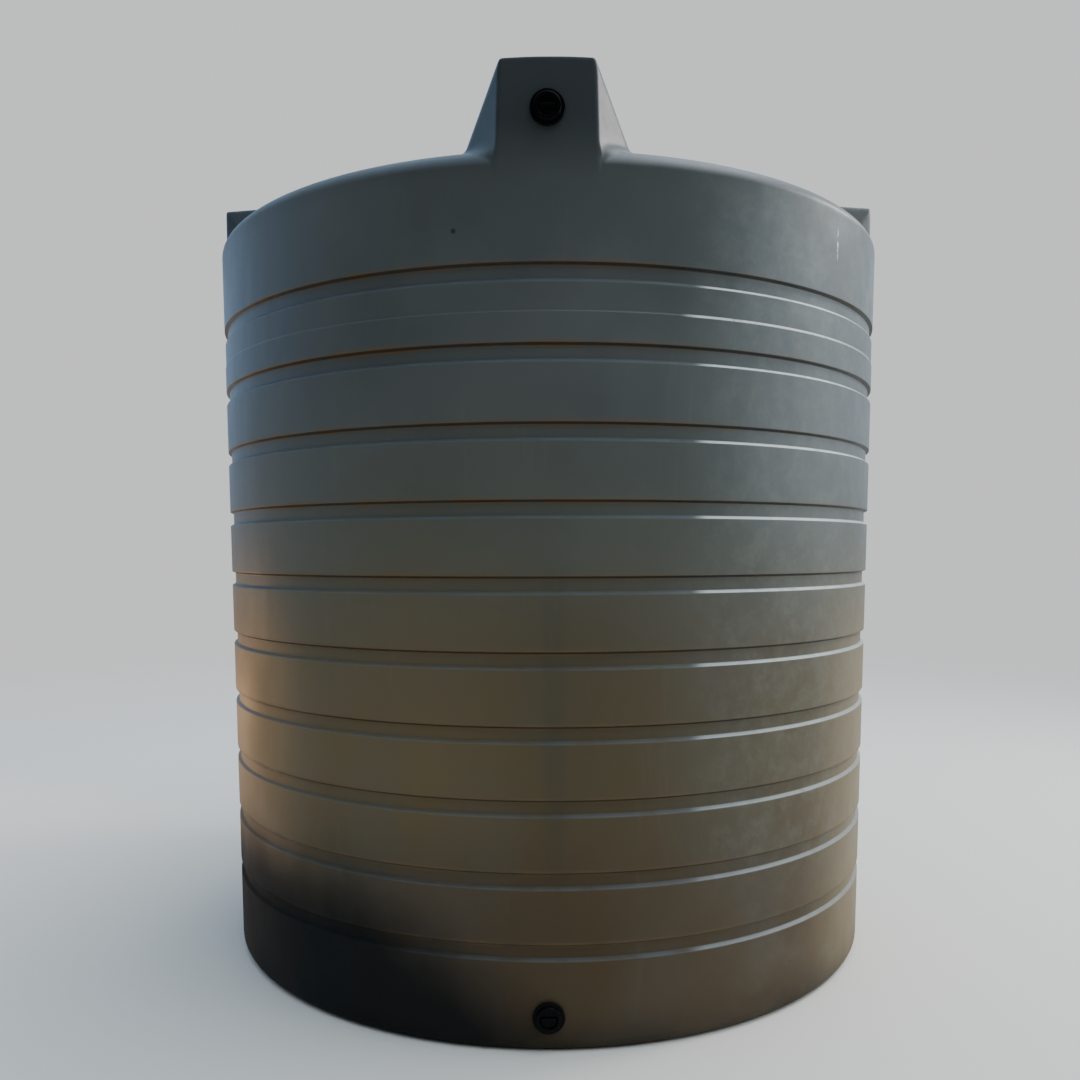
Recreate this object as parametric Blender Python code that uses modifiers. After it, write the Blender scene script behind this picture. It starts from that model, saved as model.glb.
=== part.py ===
"""Upright moulded water tank with a screw lid and two plugged threaded ports.

Metres, +Z up. The origin is the middle of the floor that the tank stands on, and the front boss,
which carries the inlet, faces -Y. The tank is one hollow moulding: its outer form is turned from a
profile and joined with four bosses, and the hollow is the same form set in by the wall thickness.
"""
import math

import bmesh
import bpy
from mathutils import Matrix, Vector

# Tank wall
TANK_RADIUS = 1.140
WALL = 0.009
FLOOR_ROUND = 0.035
TANK_FACETS = 36

# Grooves, counted from the floor up
GROOVE_COUNT = 10
GROOVE_PITCH = 0.200
GROOVE_WIDTH = 0.046
GROOVE_DEPTH = 0.011
GROOVE_TOP_FLANK = 0.005
GROOVE_FOOT_FLANK = 0.010
LOWEST_GROOVE_FOOT = 0.260
TOP_BAND = 0.238
TOP_GROOVE_FOOT = LOWEST_GROOVE_FOOT + (GROOVE_COUNT - 1) * GROOVE_PITCH
WALL_TOP = TOP_GROOVE_FOOT + GROOVE_WIDTH + TOP_BAND

# Parting step, between the two highest grooves
PARTING_BELOW_TOP_GROOVE = 0.076
PARTING_STEP = 0.002
PARTING_HEIGHT = 0.003

# Shoulder and dome
SHOULDER_REACH = 0.396
SHOULDER_RISE = 0.106
DOME_EDGE_SLOPE = 0.33
SHOULDER_STEPS = 6
DOME_STEPS = 5

# Manhole neck
NECK_RADIUS = 0.225
NECK_HEIGHT = 0.055
NECK_ROUND = 0.012
MOUTH_FACETS = 32

# Bosses on the shoulder
BOSS_COUNT = 4
INLET_BOSS_TOP = WALL_TOP + 0.246
PLAIN_BOSS_TOP = WALL_TOP + 0.221
BOSS_FRONT = TANK_RADIUS + 0.0005
BOSS_HALF_WIDTH = 0.120
BOSS_FACE_HEIGHT = 0.213
BOSS_FACE_SPREAD = 0.0126
BOSS_ROOF_LENGTH = 0.200
BOSS_ROOF_SPREAD = 0.23
BOSS_CREASE_INWARD = 0.76
BOSS_CREASE_OUTWARD = 0.56
BOSS_REAR_ANGLE = math.radians(42.0)
BOSS_TIP_DROP = 0.117
BOSS_FADE_DEPTH = 0.008
BOSS_FADE_LENGTH = 0.060
BOSS_FOOT_DROP = 0.420
BOSS_WALL = 0.010
BOSS_ROUND = 0.008

# Threaded ports
INLET_HEIGHT = INLET_BOSS_TOP - 0.113
OUTLET_HEIGHT = 0.103
PORT_FACETS = 24
COLLAR_FACETS = 20
PORT_BORE = 0.0300
THREAD_ROOM = 0.0005
FERRULE_RADIUS = 0.0375
FERRULE_LENGTH = 0.032
COLLAR_RADIUS = 0.058
COLLAR_DEPTH = 0.024
WASHER_RADIUS = 0.0430
WASHER_THICKNESS = 0.003
PLUG_RADIUS = 0.0445
PLUG_FLANGE = 0.007
PLUG_FLANGE_ROUND = 0.002
PLUG_HEAD_RADIUS = 0.0355
PLUG_HEAD = 0.009
PLUG_HEAD_ROUND = 0.004
PLUG_SHANK = 0.018
PLUG_SHANK_WALL = 0.004
PLUG_RECESS_RADIUS = 0.0255
PLUG_RECESS_SLOPE = 0.0015
PLUG_RECESS_DEPTH = 0.007
PLUG_BAR_WIDTH = 0.012
PLUG_BAR_BELOW_RIM = 0.001

# Manhole lid
LID_FACETS = 36
LID_THREAD_ROOM = 0.0035
LID_SKIRT_WALL = 0.008
LID_SKIRT_DRAFT = 0.002
LID_SKIRT = 0.045
LID_PLATE = 0.006
LID_CROWN = 0.014
LID_EDGE_ROUND = 0.007
LID_RIM_LAND = 0.030
SEAL_WIDTH = 0.012
SEAL_THICKNESS = 0.004
GRIP_COUNT = 16
GRIP_WIDTH = 0.014
GRIP_PROUD = 0.006
GRIP_BELOW_TOP = 0.010
GRIP_ABOVE_FOOT = 0.001
TURRET_RADIUS = 0.040
TURRET_HEIGHT = 0.020
TURRET_WALL = 0.005
SLOT_COUNT = 8
SLOT_WIDTH = 0.012
SLOT_HEIGHT = 0.008
SLOT_ABOVE_PLATE = 0.004

# Gap kept between pieces that touch, and the overlap of a cutter past the face that it opens
GAP = 0.0003
PAST = 0.010
MERGE = 0.00005


def clear_scene():
    """Remove every object of the open scene."""
    for item in list(bpy.data.objects):
        bpy.data.objects.remove(item, do_unlink=True)


def new_collection(name):
    """Return a new collection linked to the scene."""
    group = bpy.data.collections.new(name)
    bpy.context.scene.collection.children.link(group)
    return group


def plastic(name, colour, roughness, metallic=0.0):
    """Return a Principled material with one colour."""
    finish = bpy.data.materials.new(name)
    finish.use_nodes = True
    shader = finish.node_tree.nodes["Principled BSDF"]
    shader.inputs["Base Color"].default_value = (*colour, 1.0)
    shader.inputs["Roughness"].default_value = roughness
    shader.inputs["Metallic"].default_value = metallic
    return finish


def add_object(name, mesh, group, finish=None):
    """Link a mesh into a collection as a named object."""
    item = bpy.data.objects.new(name, mesh)
    group.objects.link(item)
    if finish:
        mesh.materials.append(finish)
    return item


def add_cutter(name, mesh, group):
    """Link a mesh as a helper body that is neither rendered nor part of the object."""
    item = add_object(name, mesh, group)
    item.hide_render = True
    item.display_type = "WIRE"
    return item


def mesh_of(body, name):
    """Turn a bmesh into a mesh and free it."""
    mesh = bpy.data.meshes.new(name)
    body.to_mesh(mesh)
    body.free()
    return mesh


def turned(item, profile, facets, closed):
    """Give an object a profile and turn it about its own Z axis.

    The profile is a list of (radius, height) that runs down the outer side. Each flat of the faceted
    body lies at the profile's radius, and a flat, not an edge, faces the front.
    """
    half = math.pi / facets
    points = [(r, r * math.tan(half), z) for r, z in profile]
    edges = [(i, i + 1) for i in range(len(points) - 1)]
    if closed:
        edges.append((len(points) - 1, 0))
    item.data.from_pydata(points, edges, [])
    screw = item.modifiers.new("Turn", "SCREW")
    screw.axis = "Z"
    screw.angle = 2 * math.pi
    screw.steps = facets
    screw.render_steps = facets
    screw.use_merge_vertices = True
    screw.merge_threshold = MERGE
    screw.use_smooth_shade = True


def boolean(item, operation, other):
    """Join or cut an object with another by an exact Boolean modifier."""
    step = item.modifiers.new(other.name, "BOOLEAN")
    step.operation = operation
    step.solver = "EXACT"
    step.object = other


def arc(centre_r, centre_z, radius, start, stop, steps):
    """Points on a circle from one angle to another, both ends included."""
    angles = [start + (stop - start) * i / steps for i in range(steps + 1)]
    return [(centre_r + radius * math.cos(a), centre_z + radius * math.sin(a)) for a in angles]


def inset(profile, distance):
    """Move a profile inwards by a distance, with mitred corners."""
    points = [Vector(p) for p in profile]
    runs = [(b - a).normalized() for a, b in zip(points, points[1:])]
    normals = [Vector((run.y, -run.x)) for run in runs]
    moved = []
    for i, point in enumerate(points):
        before = normals[max(i - 1, 0)]
        after = normals[min(i, len(normals) - 1)]
        mitre = (before + after) / (1 + before.dot(after))
        moved.append(tuple(point + distance * mitre))
    return moved


def shoulder():
    """The shoulder's profile from the dome's edge out to the wall: part of an ellipse."""
    centre_r = TANK_RADIUS - SHOULDER_REACH
    start = math.atan(SHOULDER_RISE / SHOULDER_REACH / DOME_EDGE_SLOPE)
    angles = [start * (1 - i / SHOULDER_STEPS) for i in range(SHOULDER_STEPS + 1)]
    return [(centre_r + SHOULDER_REACH * math.cos(a), WALL_TOP + SHOULDER_RISE * math.sin(a)) for a in angles]


def dome(start_r):
    """The dome's profile from a radius out to the shoulder, whose slope it meets.

    It is a circle about the tank's axis.
    """
    edge_r, edge_z = shoulder()[0]
    dome_radius = edge_r * math.sqrt(1 + 1 / DOME_EDGE_SLOPE ** 2)
    centre_z = edge_z - math.sqrt(dome_radius ** 2 - edge_r ** 2)
    radii = [start_r + (edge_r - start_r) * i / DOME_STEPS for i in range(DOME_STEPS)]
    return [(r, centre_z + math.sqrt(dome_radius ** 2 - r ** 2)) for r in radii]


def neck_foot():
    """Height of the dome where the neck's rounding starts."""
    return dome(NECK_RADIUS + NECK_ROUND)[0][1]


def neck_top():
    """Height of the neck's rim."""
    return neck_foot() + NECK_HEIGHT


def grooved_wall():
    """The wall's profile from under the shoulder down to the lowest groove's foot."""
    points = []
    for i in reversed(range(GROOVE_COUNT)):
        foot = LOWEST_GROOVE_FOOT + i * GROOVE_PITCH
        top = foot + GROOVE_WIDTH
        floor = TANK_RADIUS - GROOVE_DEPTH
        highest = i == GROOVE_COUNT - 1
        lip = TANK_RADIUS - PARTING_STEP if highest else TANK_RADIUS
        points.append((TANK_RADIUS, top))
        points.append((floor, top - GROOVE_TOP_FLANK))
        points.append((floor, foot + GROOVE_FOOT_FLANK))
        points.append((lip, foot))
        if highest:
            parting = foot - PARTING_BELOW_TOP_GROOVE
            points.append((lip, parting + PARTING_HEIGHT / 2))
            points.append((TANK_RADIUS, parting - PARTING_HEIGHT / 2))
    return points


def wall_and_floor():
    """The profile from the shoulder down the wall and in to the middle of the floor."""
    floor = arc(TANK_RADIUS - FLOOR_ROUND, FLOOR_ROUND, FLOOR_ROUND, 0.0, -math.pi / 2, 3)
    return shoulder() + grooved_wall() + floor + [(0.0, 0.0)]


def outer_profile():
    """The tank's outer profile from the middle of the neck's rim down to the middle of the floor."""
    round_r = NECK_RADIUS + NECK_ROUND
    rounding = arc(round_r, neck_foot() + NECK_ROUND, NECK_ROUND, math.pi, 1.5 * math.pi, 2)
    neck = [(0.0, neck_top()), (NECK_RADIUS, neck_top())] + rounding[:-1]
    return neck + dome(round_r) + wall_and_floor()


def inner_profile():
    """The hollow's profile: the closed dome, wall and floor, set in by the wall thickness."""
    profile = inset(dome(0.0) + wall_and_floor(), WALL)
    return [(0.0, profile[0][1])] + profile[1:-1] + [(0.0, WALL)]


def solid_from_planes(planes, size):
    """A convex solid: a cube with everything in front of each plane cut away.

    Each plane is a point and a normal that faces out of the solid.
    """
    body = bmesh.new()
    bmesh.ops.create_cube(body, size=size)
    for point, normal in planes:
        cut = bmesh.ops.bisect_plane(body, geom=body.verts[:] + body.edges[:] + body.faces[:],
                                     dist=1e-6, plane_co=point, plane_no=normal, clear_outer=True)
        rim = [e for e in cut["geom_cut"] if isinstance(e, bmesh.types.BMEdge)]
        if rim:
            bmesh.ops.contextual_create(body, geom=rim)
    bmesh.ops.recalc_face_normals(body, faces=body.faces[:])
    return body


def plane_through(a, b, c, inside):
    """The plane through three points, as a point and the normal that faces away from the inside."""
    normal = (b - a).cross(c - a).normalized()
    if normal.dot(inside - a) > 0:
        normal = -normal
    return a, normal


def boss_planes(top, set_in):
    """The faces of a boss that faces -Y, each set in by a distance.

    The front is flat and upright. The roof is level and grows wider inwards. On each side a nearly
    upright corner face and a leaning face meet in a crease that falls away from the front's top
    corner. Under the front's lower corners two faces fade the flat front into the round wall.
    """
    front = -BOSS_FRONT
    foot = top - BOSS_FOOT_DROP
    inside = Vector((0.0, front + BOSS_ROOF_LENGTH / 2, top - BOSS_FACE_HEIGHT / 2))
    planes = [
        (Vector((0.0, front, 0.0)), Vector((0.0, -1.0, 0.0))),
        (Vector((0.0, 0.0, top)), Vector((0.0, 0.0, 1.0))),
        (Vector((0.0, front + BOSS_ROOF_LENGTH, top)),
         Vector((0.0, math.sin(BOSS_REAR_ANGLE), math.cos(BOSS_REAR_ANGLE)))),
    ]
    for side in (-1.0, 1.0):
        corner = Vector((side * BOSS_HALF_WIDTH, front, top))
        low = Vector((side * (BOSS_HALF_WIDTH + BOSS_FACE_SPREAD), front, top - BOSS_FACE_HEIGHT))
        crease = corner + Vector((side * BOSS_CREASE_OUTWARD, BOSS_CREASE_INWARD, -1.0))
        roof_edge = corner + Vector((side * BOSS_ROOF_SPREAD, 1.0, 0.0))
        tip = Vector((0.0, front, low.z - BOSS_TIP_DROP))
        fade = low + Vector((0.0, BOSS_FADE_DEPTH, -BOSS_FADE_LENGTH))
        planes.append(plane_through(corner, low, crease, inside))
        planes.append(plane_through(corner, crease, roof_edge, inside))
        planes.append(plane_through(low, tip, fade, inside))
    planes = [(point - set_in * normal, normal) for point, normal in planes]
    return planes + [(Vector((0.0, 0.0, foot)), Vector((0.0, 0.0, -1.0)))]


def boss_mesh(name, top, set_in, turn):
    """A boss's outer block, or with a set-in its hollow, turned about the tank's axis."""
    body = solid_from_planes(boss_planes(top, set_in), 8 * TANK_RADIUS)
    bmesh.ops.rotate(body, verts=body.verts[:], cent=(0, 0, 0), matrix=Matrix.Rotation(turn, 3, "Z"))
    return mesh_of(body, name)


def build_shell(group, cutters, finish):
    """The tank: the turned body and its bosses, hollowed, then the collars and the port bores."""
    shell = add_object("tank_shell", bpy.data.meshes.new("tank_shell"), group, finish)
    turned(shell, outer_profile(), TANK_FACETS, closed=False)
    hollow = add_cutter("hollow", bpy.data.meshes.new("hollow"), cutters)
    turned(hollow, inner_profile(), TANK_FACETS, closed=False)
    mouth_r = NECK_RADIUS - WALL
    mouth = add_cutter("mouth", bpy.data.meshes.new("mouth"), cutters)
    above = neck_top() + PAST
    turned(mouth, [(0.0, above), (mouth_r, above), (mouth_r, WALL_TOP), (0.0, WALL_TOP)], MOUTH_FACETS,
           closed=False)

    hollows = [hollow, mouth]
    for i in range(BOSS_COUNT):
        turn = 2 * math.pi * i / BOSS_COUNT
        top = PLAIN_BOSS_TOP if i else INLET_BOSS_TOP
        block_mesh = boss_mesh(f"boss_block_{i}", top, 0.0, turn)
        block = add_cutter(block_mesh.name, block_mesh, cutters)
        rounding = block.modifiers.new("Round", "BEVEL")
        rounding.width = BOSS_ROUND
        rounding.segments = 2
        rounding.limit_method = "ANGLE"
        rounding.angle_limit = math.radians(20.0)
        boolean(shell, "UNION", block)
        hollow_mesh = boss_mesh(f"boss_hollow_{i}", top, BOSS_WALL, turn)
        hollows.append(add_cutter(hollow_mesh.name, hollow_mesh, cutters))
    for body in hollows:
        boolean(shell, "DIFFERENCE", body)
    return shell


def port_frame(name, face, height, group):
    """An empty on a port's seat whose Z axis points out of the tank."""
    frame = bpy.data.objects.new(name, None)
    frame.location = (0.0, -face, height)
    frame.rotation_euler = (math.pi / 2, 0.0, 0.0)
    group.objects.link(frame)
    return frame


def port_part(name, frame, group, profile, closed, finish=None, facets=PORT_FACETS):
    """A turned piece on a port's axis. Without a finish it is a helper body."""
    mesh = bpy.data.meshes.new(name)
    item = add_object(name, mesh, group, finish) if finish else add_cutter(name, mesh, group)
    item.parent = frame
    turned(item, profile, facets, closed)
    return item


def build_port(name, face, height, shell, group, cutters, finishes):
    """A threaded insert in a collar of the tank, with its plug and washer."""
    frame = port_frame(f"{name}_frame", face, height, group)

    collar = port_part(f"{name}_collar", frame, cutters,
                       [(0.0, -WALL / 2), (COLLAR_RADIUS, -WALL / 2), (COLLAR_RADIUS, -COLLAR_DEPTH),
                        (0.0, -COLLAR_DEPTH)], closed=False, facets=COLLAR_FACETS)
    boolean(shell, "UNION", collar)
    bore_r = FERRULE_RADIUS + GAP
    bore_end = -FERRULE_LENGTH - PAST
    bore = port_part(f"{name}_bore", frame, cutters,
                     [(0.0, PAST), (bore_r, PAST), (bore_r, bore_end), (0.0, bore_end)], closed=False)
    boolean(shell, "DIFFERENCE", bore)

    ferrule = [(PORT_BORE, 0.0), (FERRULE_RADIUS, 0.0), (FERRULE_RADIUS, -FERRULE_LENGTH),
               (PORT_BORE, -FERRULE_LENGTH)]
    port_part(f"{name}_ferrule", frame, group, ferrule, True, finishes["brass"])

    shank_r = PORT_BORE - THREAD_ROOM
    washer_top = GAP + WASHER_THICKNESS
    washer = [(PORT_BORE, washer_top), (WASHER_RADIUS, washer_top), (WASHER_RADIUS, GAP), (PORT_BORE, GAP)]
    port_part(f"{name}_washer", frame, group, washer, True, finishes["rubber"])
    build_plug(f"{name}_plug", frame, washer_top + GAP, shank_r, group, cutters, finishes["black"])


def build_plug(name, frame, seat, shank_r, group, cutters, finish):
    """A screw plug: a flange, a round head with a recessed face and a grip bar, and a hollow shank."""
    flange = seat + PLUG_FLANGE
    top = flange + PLUG_HEAD
    recess = top - PLUG_RECESS_DEPTH
    head_edge = arc(PLUG_HEAD_RADIUS - PLUG_HEAD_ROUND, top - PLUG_HEAD_ROUND, PLUG_HEAD_ROUND,
                    math.pi / 2, 0.0, 3)
    flange_edge = arc(PLUG_RADIUS - PLUG_FLANGE_ROUND, flange - PLUG_FLANGE_ROUND, PLUG_FLANGE_ROUND,
                      math.pi / 2, 0.0, 2)
    bottom = seat - WASHER_THICKNESS - GAP - PLUG_SHANK
    cup_r = shank_r - PLUG_SHANK_WALL
    profile = [(0.0, recess), (PLUG_RECESS_RADIUS - PLUG_RECESS_SLOPE, recess), (PLUG_RECESS_RADIUS, top)]
    profile += head_edge + [(PLUG_HEAD_RADIUS, flange)] + flange_edge
    profile += [(PLUG_RADIUS, seat), (shank_r, seat), (shank_r, bottom), (cup_r, bottom), (cup_r, seat),
                (0.0, seat)]
    plug = port_part(name, frame, group, profile, False, finish)

    body = bmesh.new()
    size = (2 * PLUG_RECESS_RADIUS, PLUG_BAR_WIDTH, PLUG_RECESS_DEPTH)
    place = Matrix.Translation((0.0, 0.0, top - PLUG_BAR_BELOW_RIM - PLUG_RECESS_DEPTH / 2))
    bmesh.ops.create_cube(body, size=1.0, matrix=place @ Matrix.Diagonal((*size, 1.0)))
    bar = add_cutter(f"{name}_bar", mesh_of(body, f"{name}_bar"), cutters)
    bar.parent = frame
    boolean(plug, "UNION", bar)


def boxes_around(name, count, radius, size, height):
    """One mesh of equal boxes spaced round the Z axis, each with its length along the radius."""
    body = bmesh.new()
    for i in range(count):
        turn = Matrix.Rotation(2 * math.pi * i / count, 4, "Z")
        place = turn @ Matrix.Translation((radius, 0.0, height)) @ Matrix.Diagonal((*size, 1.0))
        bmesh.ops.create_cube(body, size=1.0, matrix=place)
    return mesh_of(body, name)


def build_lid(group, cutters, finishes):
    """The screw lid with its grip ribs and breather turret, and the seal under it."""
    frame = bpy.data.objects.new("lid_frame", None)
    frame.location = (0.0, 0.0, neck_top())
    group.objects.link(frame)

    thread_r = NECK_RADIUS + LID_THREAD_ROOM
    seal_bottom = GAP
    seal_top = seal_bottom + SEAL_THICKNESS
    seal_outer = NECK_RADIUS + LID_THREAD_ROOM / 2
    seal = add_object("lid_seal", bpy.data.meshes.new("lid_seal"), group, finishes["rubber"])
    seal.parent = frame
    seal_inner = seal_outer - SEAL_WIDTH
    turned(seal, [(seal_inner, seal_top), (seal_outer, seal_top), (seal_outer, seal_bottom),
                  (seal_inner, seal_bottom)], LID_FACETS, closed=True)

    under = seal_top + GAP
    plate = under + LID_PLATE
    skirt_foot = under - LID_SKIRT
    skirt_r = thread_r + LID_SKIRT_WALL
    land_r = skirt_r - LID_RIM_LAND
    crown = plate + LID_CROWN
    turret_top = crown + TURRET_HEIGHT
    turret_in = TURRET_RADIUS - TURRET_WALL
    outside = [(0.0, turret_top), (turret_in, turret_top), (TURRET_RADIUS, turret_top - TURRET_WALL),
               (TURRET_RADIUS, crown), (land_r, plate)]
    outside += arc(skirt_r - LID_EDGE_ROUND, plate - LID_EDGE_ROUND, LID_EDGE_ROUND, math.pi / 2, 0.0, 3)
    inside = [(skirt_r + LID_SKIRT_DRAFT, skirt_foot), (thread_r, skirt_foot), (thread_r, under),
              (land_r, under), (turret_in, crown - LID_PLATE), (turret_in, turret_top - TURRET_WALL),
              (0.0, turret_top - TURRET_WALL)]
    lid = add_object("manhole_lid", bpy.data.meshes.new("manhole_lid"), group, finishes["black"])
    lid.parent = frame
    turned(lid, outside + inside, LID_FACETS, closed=False)

    grip_top = plate - GRIP_BELOW_TOP
    grip_foot = skirt_foot + GRIP_ABOVE_FOOT
    grip_size = (GRIP_PROUD + LID_SKIRT_WALL / 2, GRIP_WIDTH, grip_top - grip_foot)
    grip_r = skirt_r + GRIP_PROUD - grip_size[0] / 2
    grip_mesh = boxes_around("lid_grips", GRIP_COUNT, grip_r, grip_size, (grip_top + grip_foot) / 2)
    grips = add_cutter(grip_mesh.name, grip_mesh, cutters)
    grips.parent = frame
    boolean(lid, "UNION", grips)

    slot_size = (4 * TURRET_WALL, SLOT_WIDTH, SLOT_HEIGHT)
    slot_z = crown + SLOT_ABOVE_PLATE + SLOT_HEIGHT / 2
    slot_mesh = boxes_around("breather_slots", SLOT_COUNT, TURRET_RADIUS - TURRET_WALL / 2, slot_size, slot_z)
    slots = add_cutter(slot_mesh.name, slot_mesh, cutters)
    slots.parent = frame
    boolean(lid, "DIFFERENCE", slots)


def main():
    """Build the whole tank."""
    clear_scene()
    group = new_collection("water_tank")
    cutters = new_collection("water_tank_cutters")
    finishes = {
        "tank": plastic("tank_grey", (0.075, 0.080, 0.070), 0.45),
        "black": plastic("black_plastic", (0.010, 0.010, 0.012), 0.35),
        "rubber": plastic("black_rubber", (0.020, 0.020, 0.020), 0.80),
        "brass": plastic("brass", (0.60, 0.42, 0.18), 0.35, 1.0),
    }
    shell = build_shell(group, cutters, finishes["tank"])
    build_port("inlet", BOSS_FRONT, INLET_HEIGHT, shell, group, cutters, finishes)
    build_port("outlet", TANK_RADIUS, OUTLET_HEIGHT, shell, group, cutters, finishes)
    build_lid(group, cutters, finishes)
    bpy.context.view_layer.update()


main()
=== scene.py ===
# %% [markdown]
# # A moulded water tank, seen closely
#
# The CAD pieces give the true sizes and the motion. This lesson puts a finer surface over each of them
# and paints it. Everything is built from a few ideas: a profile turned about an axis, a thread that is
# a small wave on such a surface, and a body found by casting rays at a distance function.
#
# The first cell loads the CAD pieces, sets each one's placement into its points and drops the empty nodes.

# %% Load the CAD pieces
import math

import bmesh
import bpy
import numpy as np
from mathutils import Euler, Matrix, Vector


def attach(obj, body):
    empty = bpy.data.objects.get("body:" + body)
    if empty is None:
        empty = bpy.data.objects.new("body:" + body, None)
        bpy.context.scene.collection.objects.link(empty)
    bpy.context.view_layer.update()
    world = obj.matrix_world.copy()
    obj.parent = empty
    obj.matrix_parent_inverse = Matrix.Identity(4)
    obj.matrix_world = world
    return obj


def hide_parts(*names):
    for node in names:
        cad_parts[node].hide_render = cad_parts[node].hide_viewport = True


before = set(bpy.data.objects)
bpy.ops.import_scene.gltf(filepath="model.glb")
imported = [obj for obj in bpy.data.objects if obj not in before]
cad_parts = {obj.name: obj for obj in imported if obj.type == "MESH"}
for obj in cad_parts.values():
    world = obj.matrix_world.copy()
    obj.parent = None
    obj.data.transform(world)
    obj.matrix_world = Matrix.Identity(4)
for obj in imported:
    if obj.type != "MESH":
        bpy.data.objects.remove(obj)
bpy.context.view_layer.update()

# %% [markdown]
# ## The camera
#
# The photo was taken 3.7 m from the tank's axis, with the lens 1.37 m up and tipped down by about five
# degrees. These values come from the ellipses of the grooves: each groove is a level circle, so its
# ellipse bends downwards below the lens and upwards above it. The picture was cropped above and below,
# so the lens's axis isn't in the middle of the frame, and a vertical shift brings it back.

# %% Camera
CAMERA_PLACE = (0.0, -3.6963, 1.3742)
CAMERA_TIP = math.radians(5.42476)
CAMERA_TURN = math.radians(0.48287)
CAMERA_ROLL = math.radians(-0.13707)
LENS = 32.474
SHIFT_UP = 0.09533

lens = bpy.data.cameras.new("photo_camera")
lens.lens = LENS
lens.sensor_width = 36.0
lens.shift_y = SHIFT_UP
lens.clip_end = 100.0
camera = bpy.data.objects.new("photo_camera", lens)
bpy.context.scene.collection.objects.link(camera)
camera.location = CAMERA_PLACE
camera.rotation_mode = "XYZ"
facing = Euler((math.pi / 2 - CAMERA_TIP, 0.0, CAMERA_TURN)).to_matrix()
camera.rotation_euler = (facing @ Euler((0.0, 0.0, CAMERA_ROLL)).to_matrix()).to_euler()
bpy.context.scene.camera = camera
print("camera at", CAMERA_PLACE)

# %% [markdown]
# ## Sizes
#
# All lengths are metres, with the origin under the middle of the floor and the front at -Y. They are
# the CAD's own sizes, plus the small radii that only the fine surface has. The bosses differ from the
# CAD's by a few millimetres, in width, spread and height of the roof, to follow the photo more closely.

# %% Sizes of the tank
TANK_RADIUS = 1.140
WALL = 0.009
FLOOR_ROUND = 0.035
GROOVE_COUNT = 10
GROOVE_PITCH = 0.200
GROOVE_WIDTH = 0.046
GROOVE_DEPTH = 0.011
LOWEST_GROOVE_FOOT = 0.260
TOP_GROOVE_FOOT = LOWEST_GROOVE_FOOT + (GROOVE_COUNT - 1) * GROOVE_PITCH
WALL_TOP = TOP_GROOVE_FOOT + GROOVE_WIDTH + 0.238
PARTING_HEIGHT = TOP_GROOVE_FOOT - 0.076
PARTING_STEP = 0.002

SHOULDER_REACH = 0.396
SHOULDER_RISE = 0.106
SHOULDER_CENTRE = TANK_RADIUS - SHOULDER_REACH
DOME_EDGE_SLOPE = 0.33
join_angle = math.atan(SHOULDER_RISE / SHOULDER_REACH / DOME_EDGE_SLOPE)
JOIN_R = SHOULDER_CENTRE + SHOULDER_REACH * math.cos(join_angle)
JOIN_Z = WALL_TOP + SHOULDER_RISE * math.sin(join_angle)
DOME_RADIUS = JOIN_R * math.sqrt(1 + 1 / DOME_EDGE_SLOPE ** 2)
DOME_CENTRE = JOIN_Z - math.sqrt(DOME_RADIUS ** 2 - JOIN_R ** 2)

NECK_RADIUS = 0.225
NECK_ROUND = 0.012
NECK_FOOT = DOME_CENTRE + math.sqrt(DOME_RADIUS ** 2 - (NECK_RADIUS + NECK_ROUND) ** 2)
NECK_TOP = NECK_FOOT + 0.055

INLET_BOSS_TOP = WALL_TOP + 0.246
PLAIN_BOSS_TOP = WALL_TOP + 0.221
BOSS_FRONT = TANK_RADIUS + 0.0005
BOSS_HALF_WIDTH = 0.1225
BOSS_FACE_HEIGHT = 0.213
BOSS_FACE_SPREAD = 0.0070
BOSS_ROOF_LENGTH = 0.200
BOSS_WALL = 0.010
BOSS_CROWN = 0.004
ROOF_LIFT = 0.0125
BOSS_ROUNDING = 0.0060
FILLET_REACH = 0.030

INLET_HEIGHT = INLET_BOSS_TOP - 0.113
OUTLET_HEIGHT = 0.103
print("neck top", round(NECK_TOP, 4), "dome radius", round(DOME_RADIUS, 3))

# %% [markdown]
# ## Gathering a surface
#
# A piece is collected as arrays of points and arrays of faces, and turned into one mesh at the end.
# Two kinds of faces cover almost everything. Rings with the same number of corners are joined by
# quads. Rings with different numbers are joined by triangles: going round both rings by angle, every
# corner makes a triangle with the corner before it on its own ring and the last one passed on the
# other ring. That lets a fine ring meet a coarse one without a gap.

# %% A body made of rings


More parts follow.
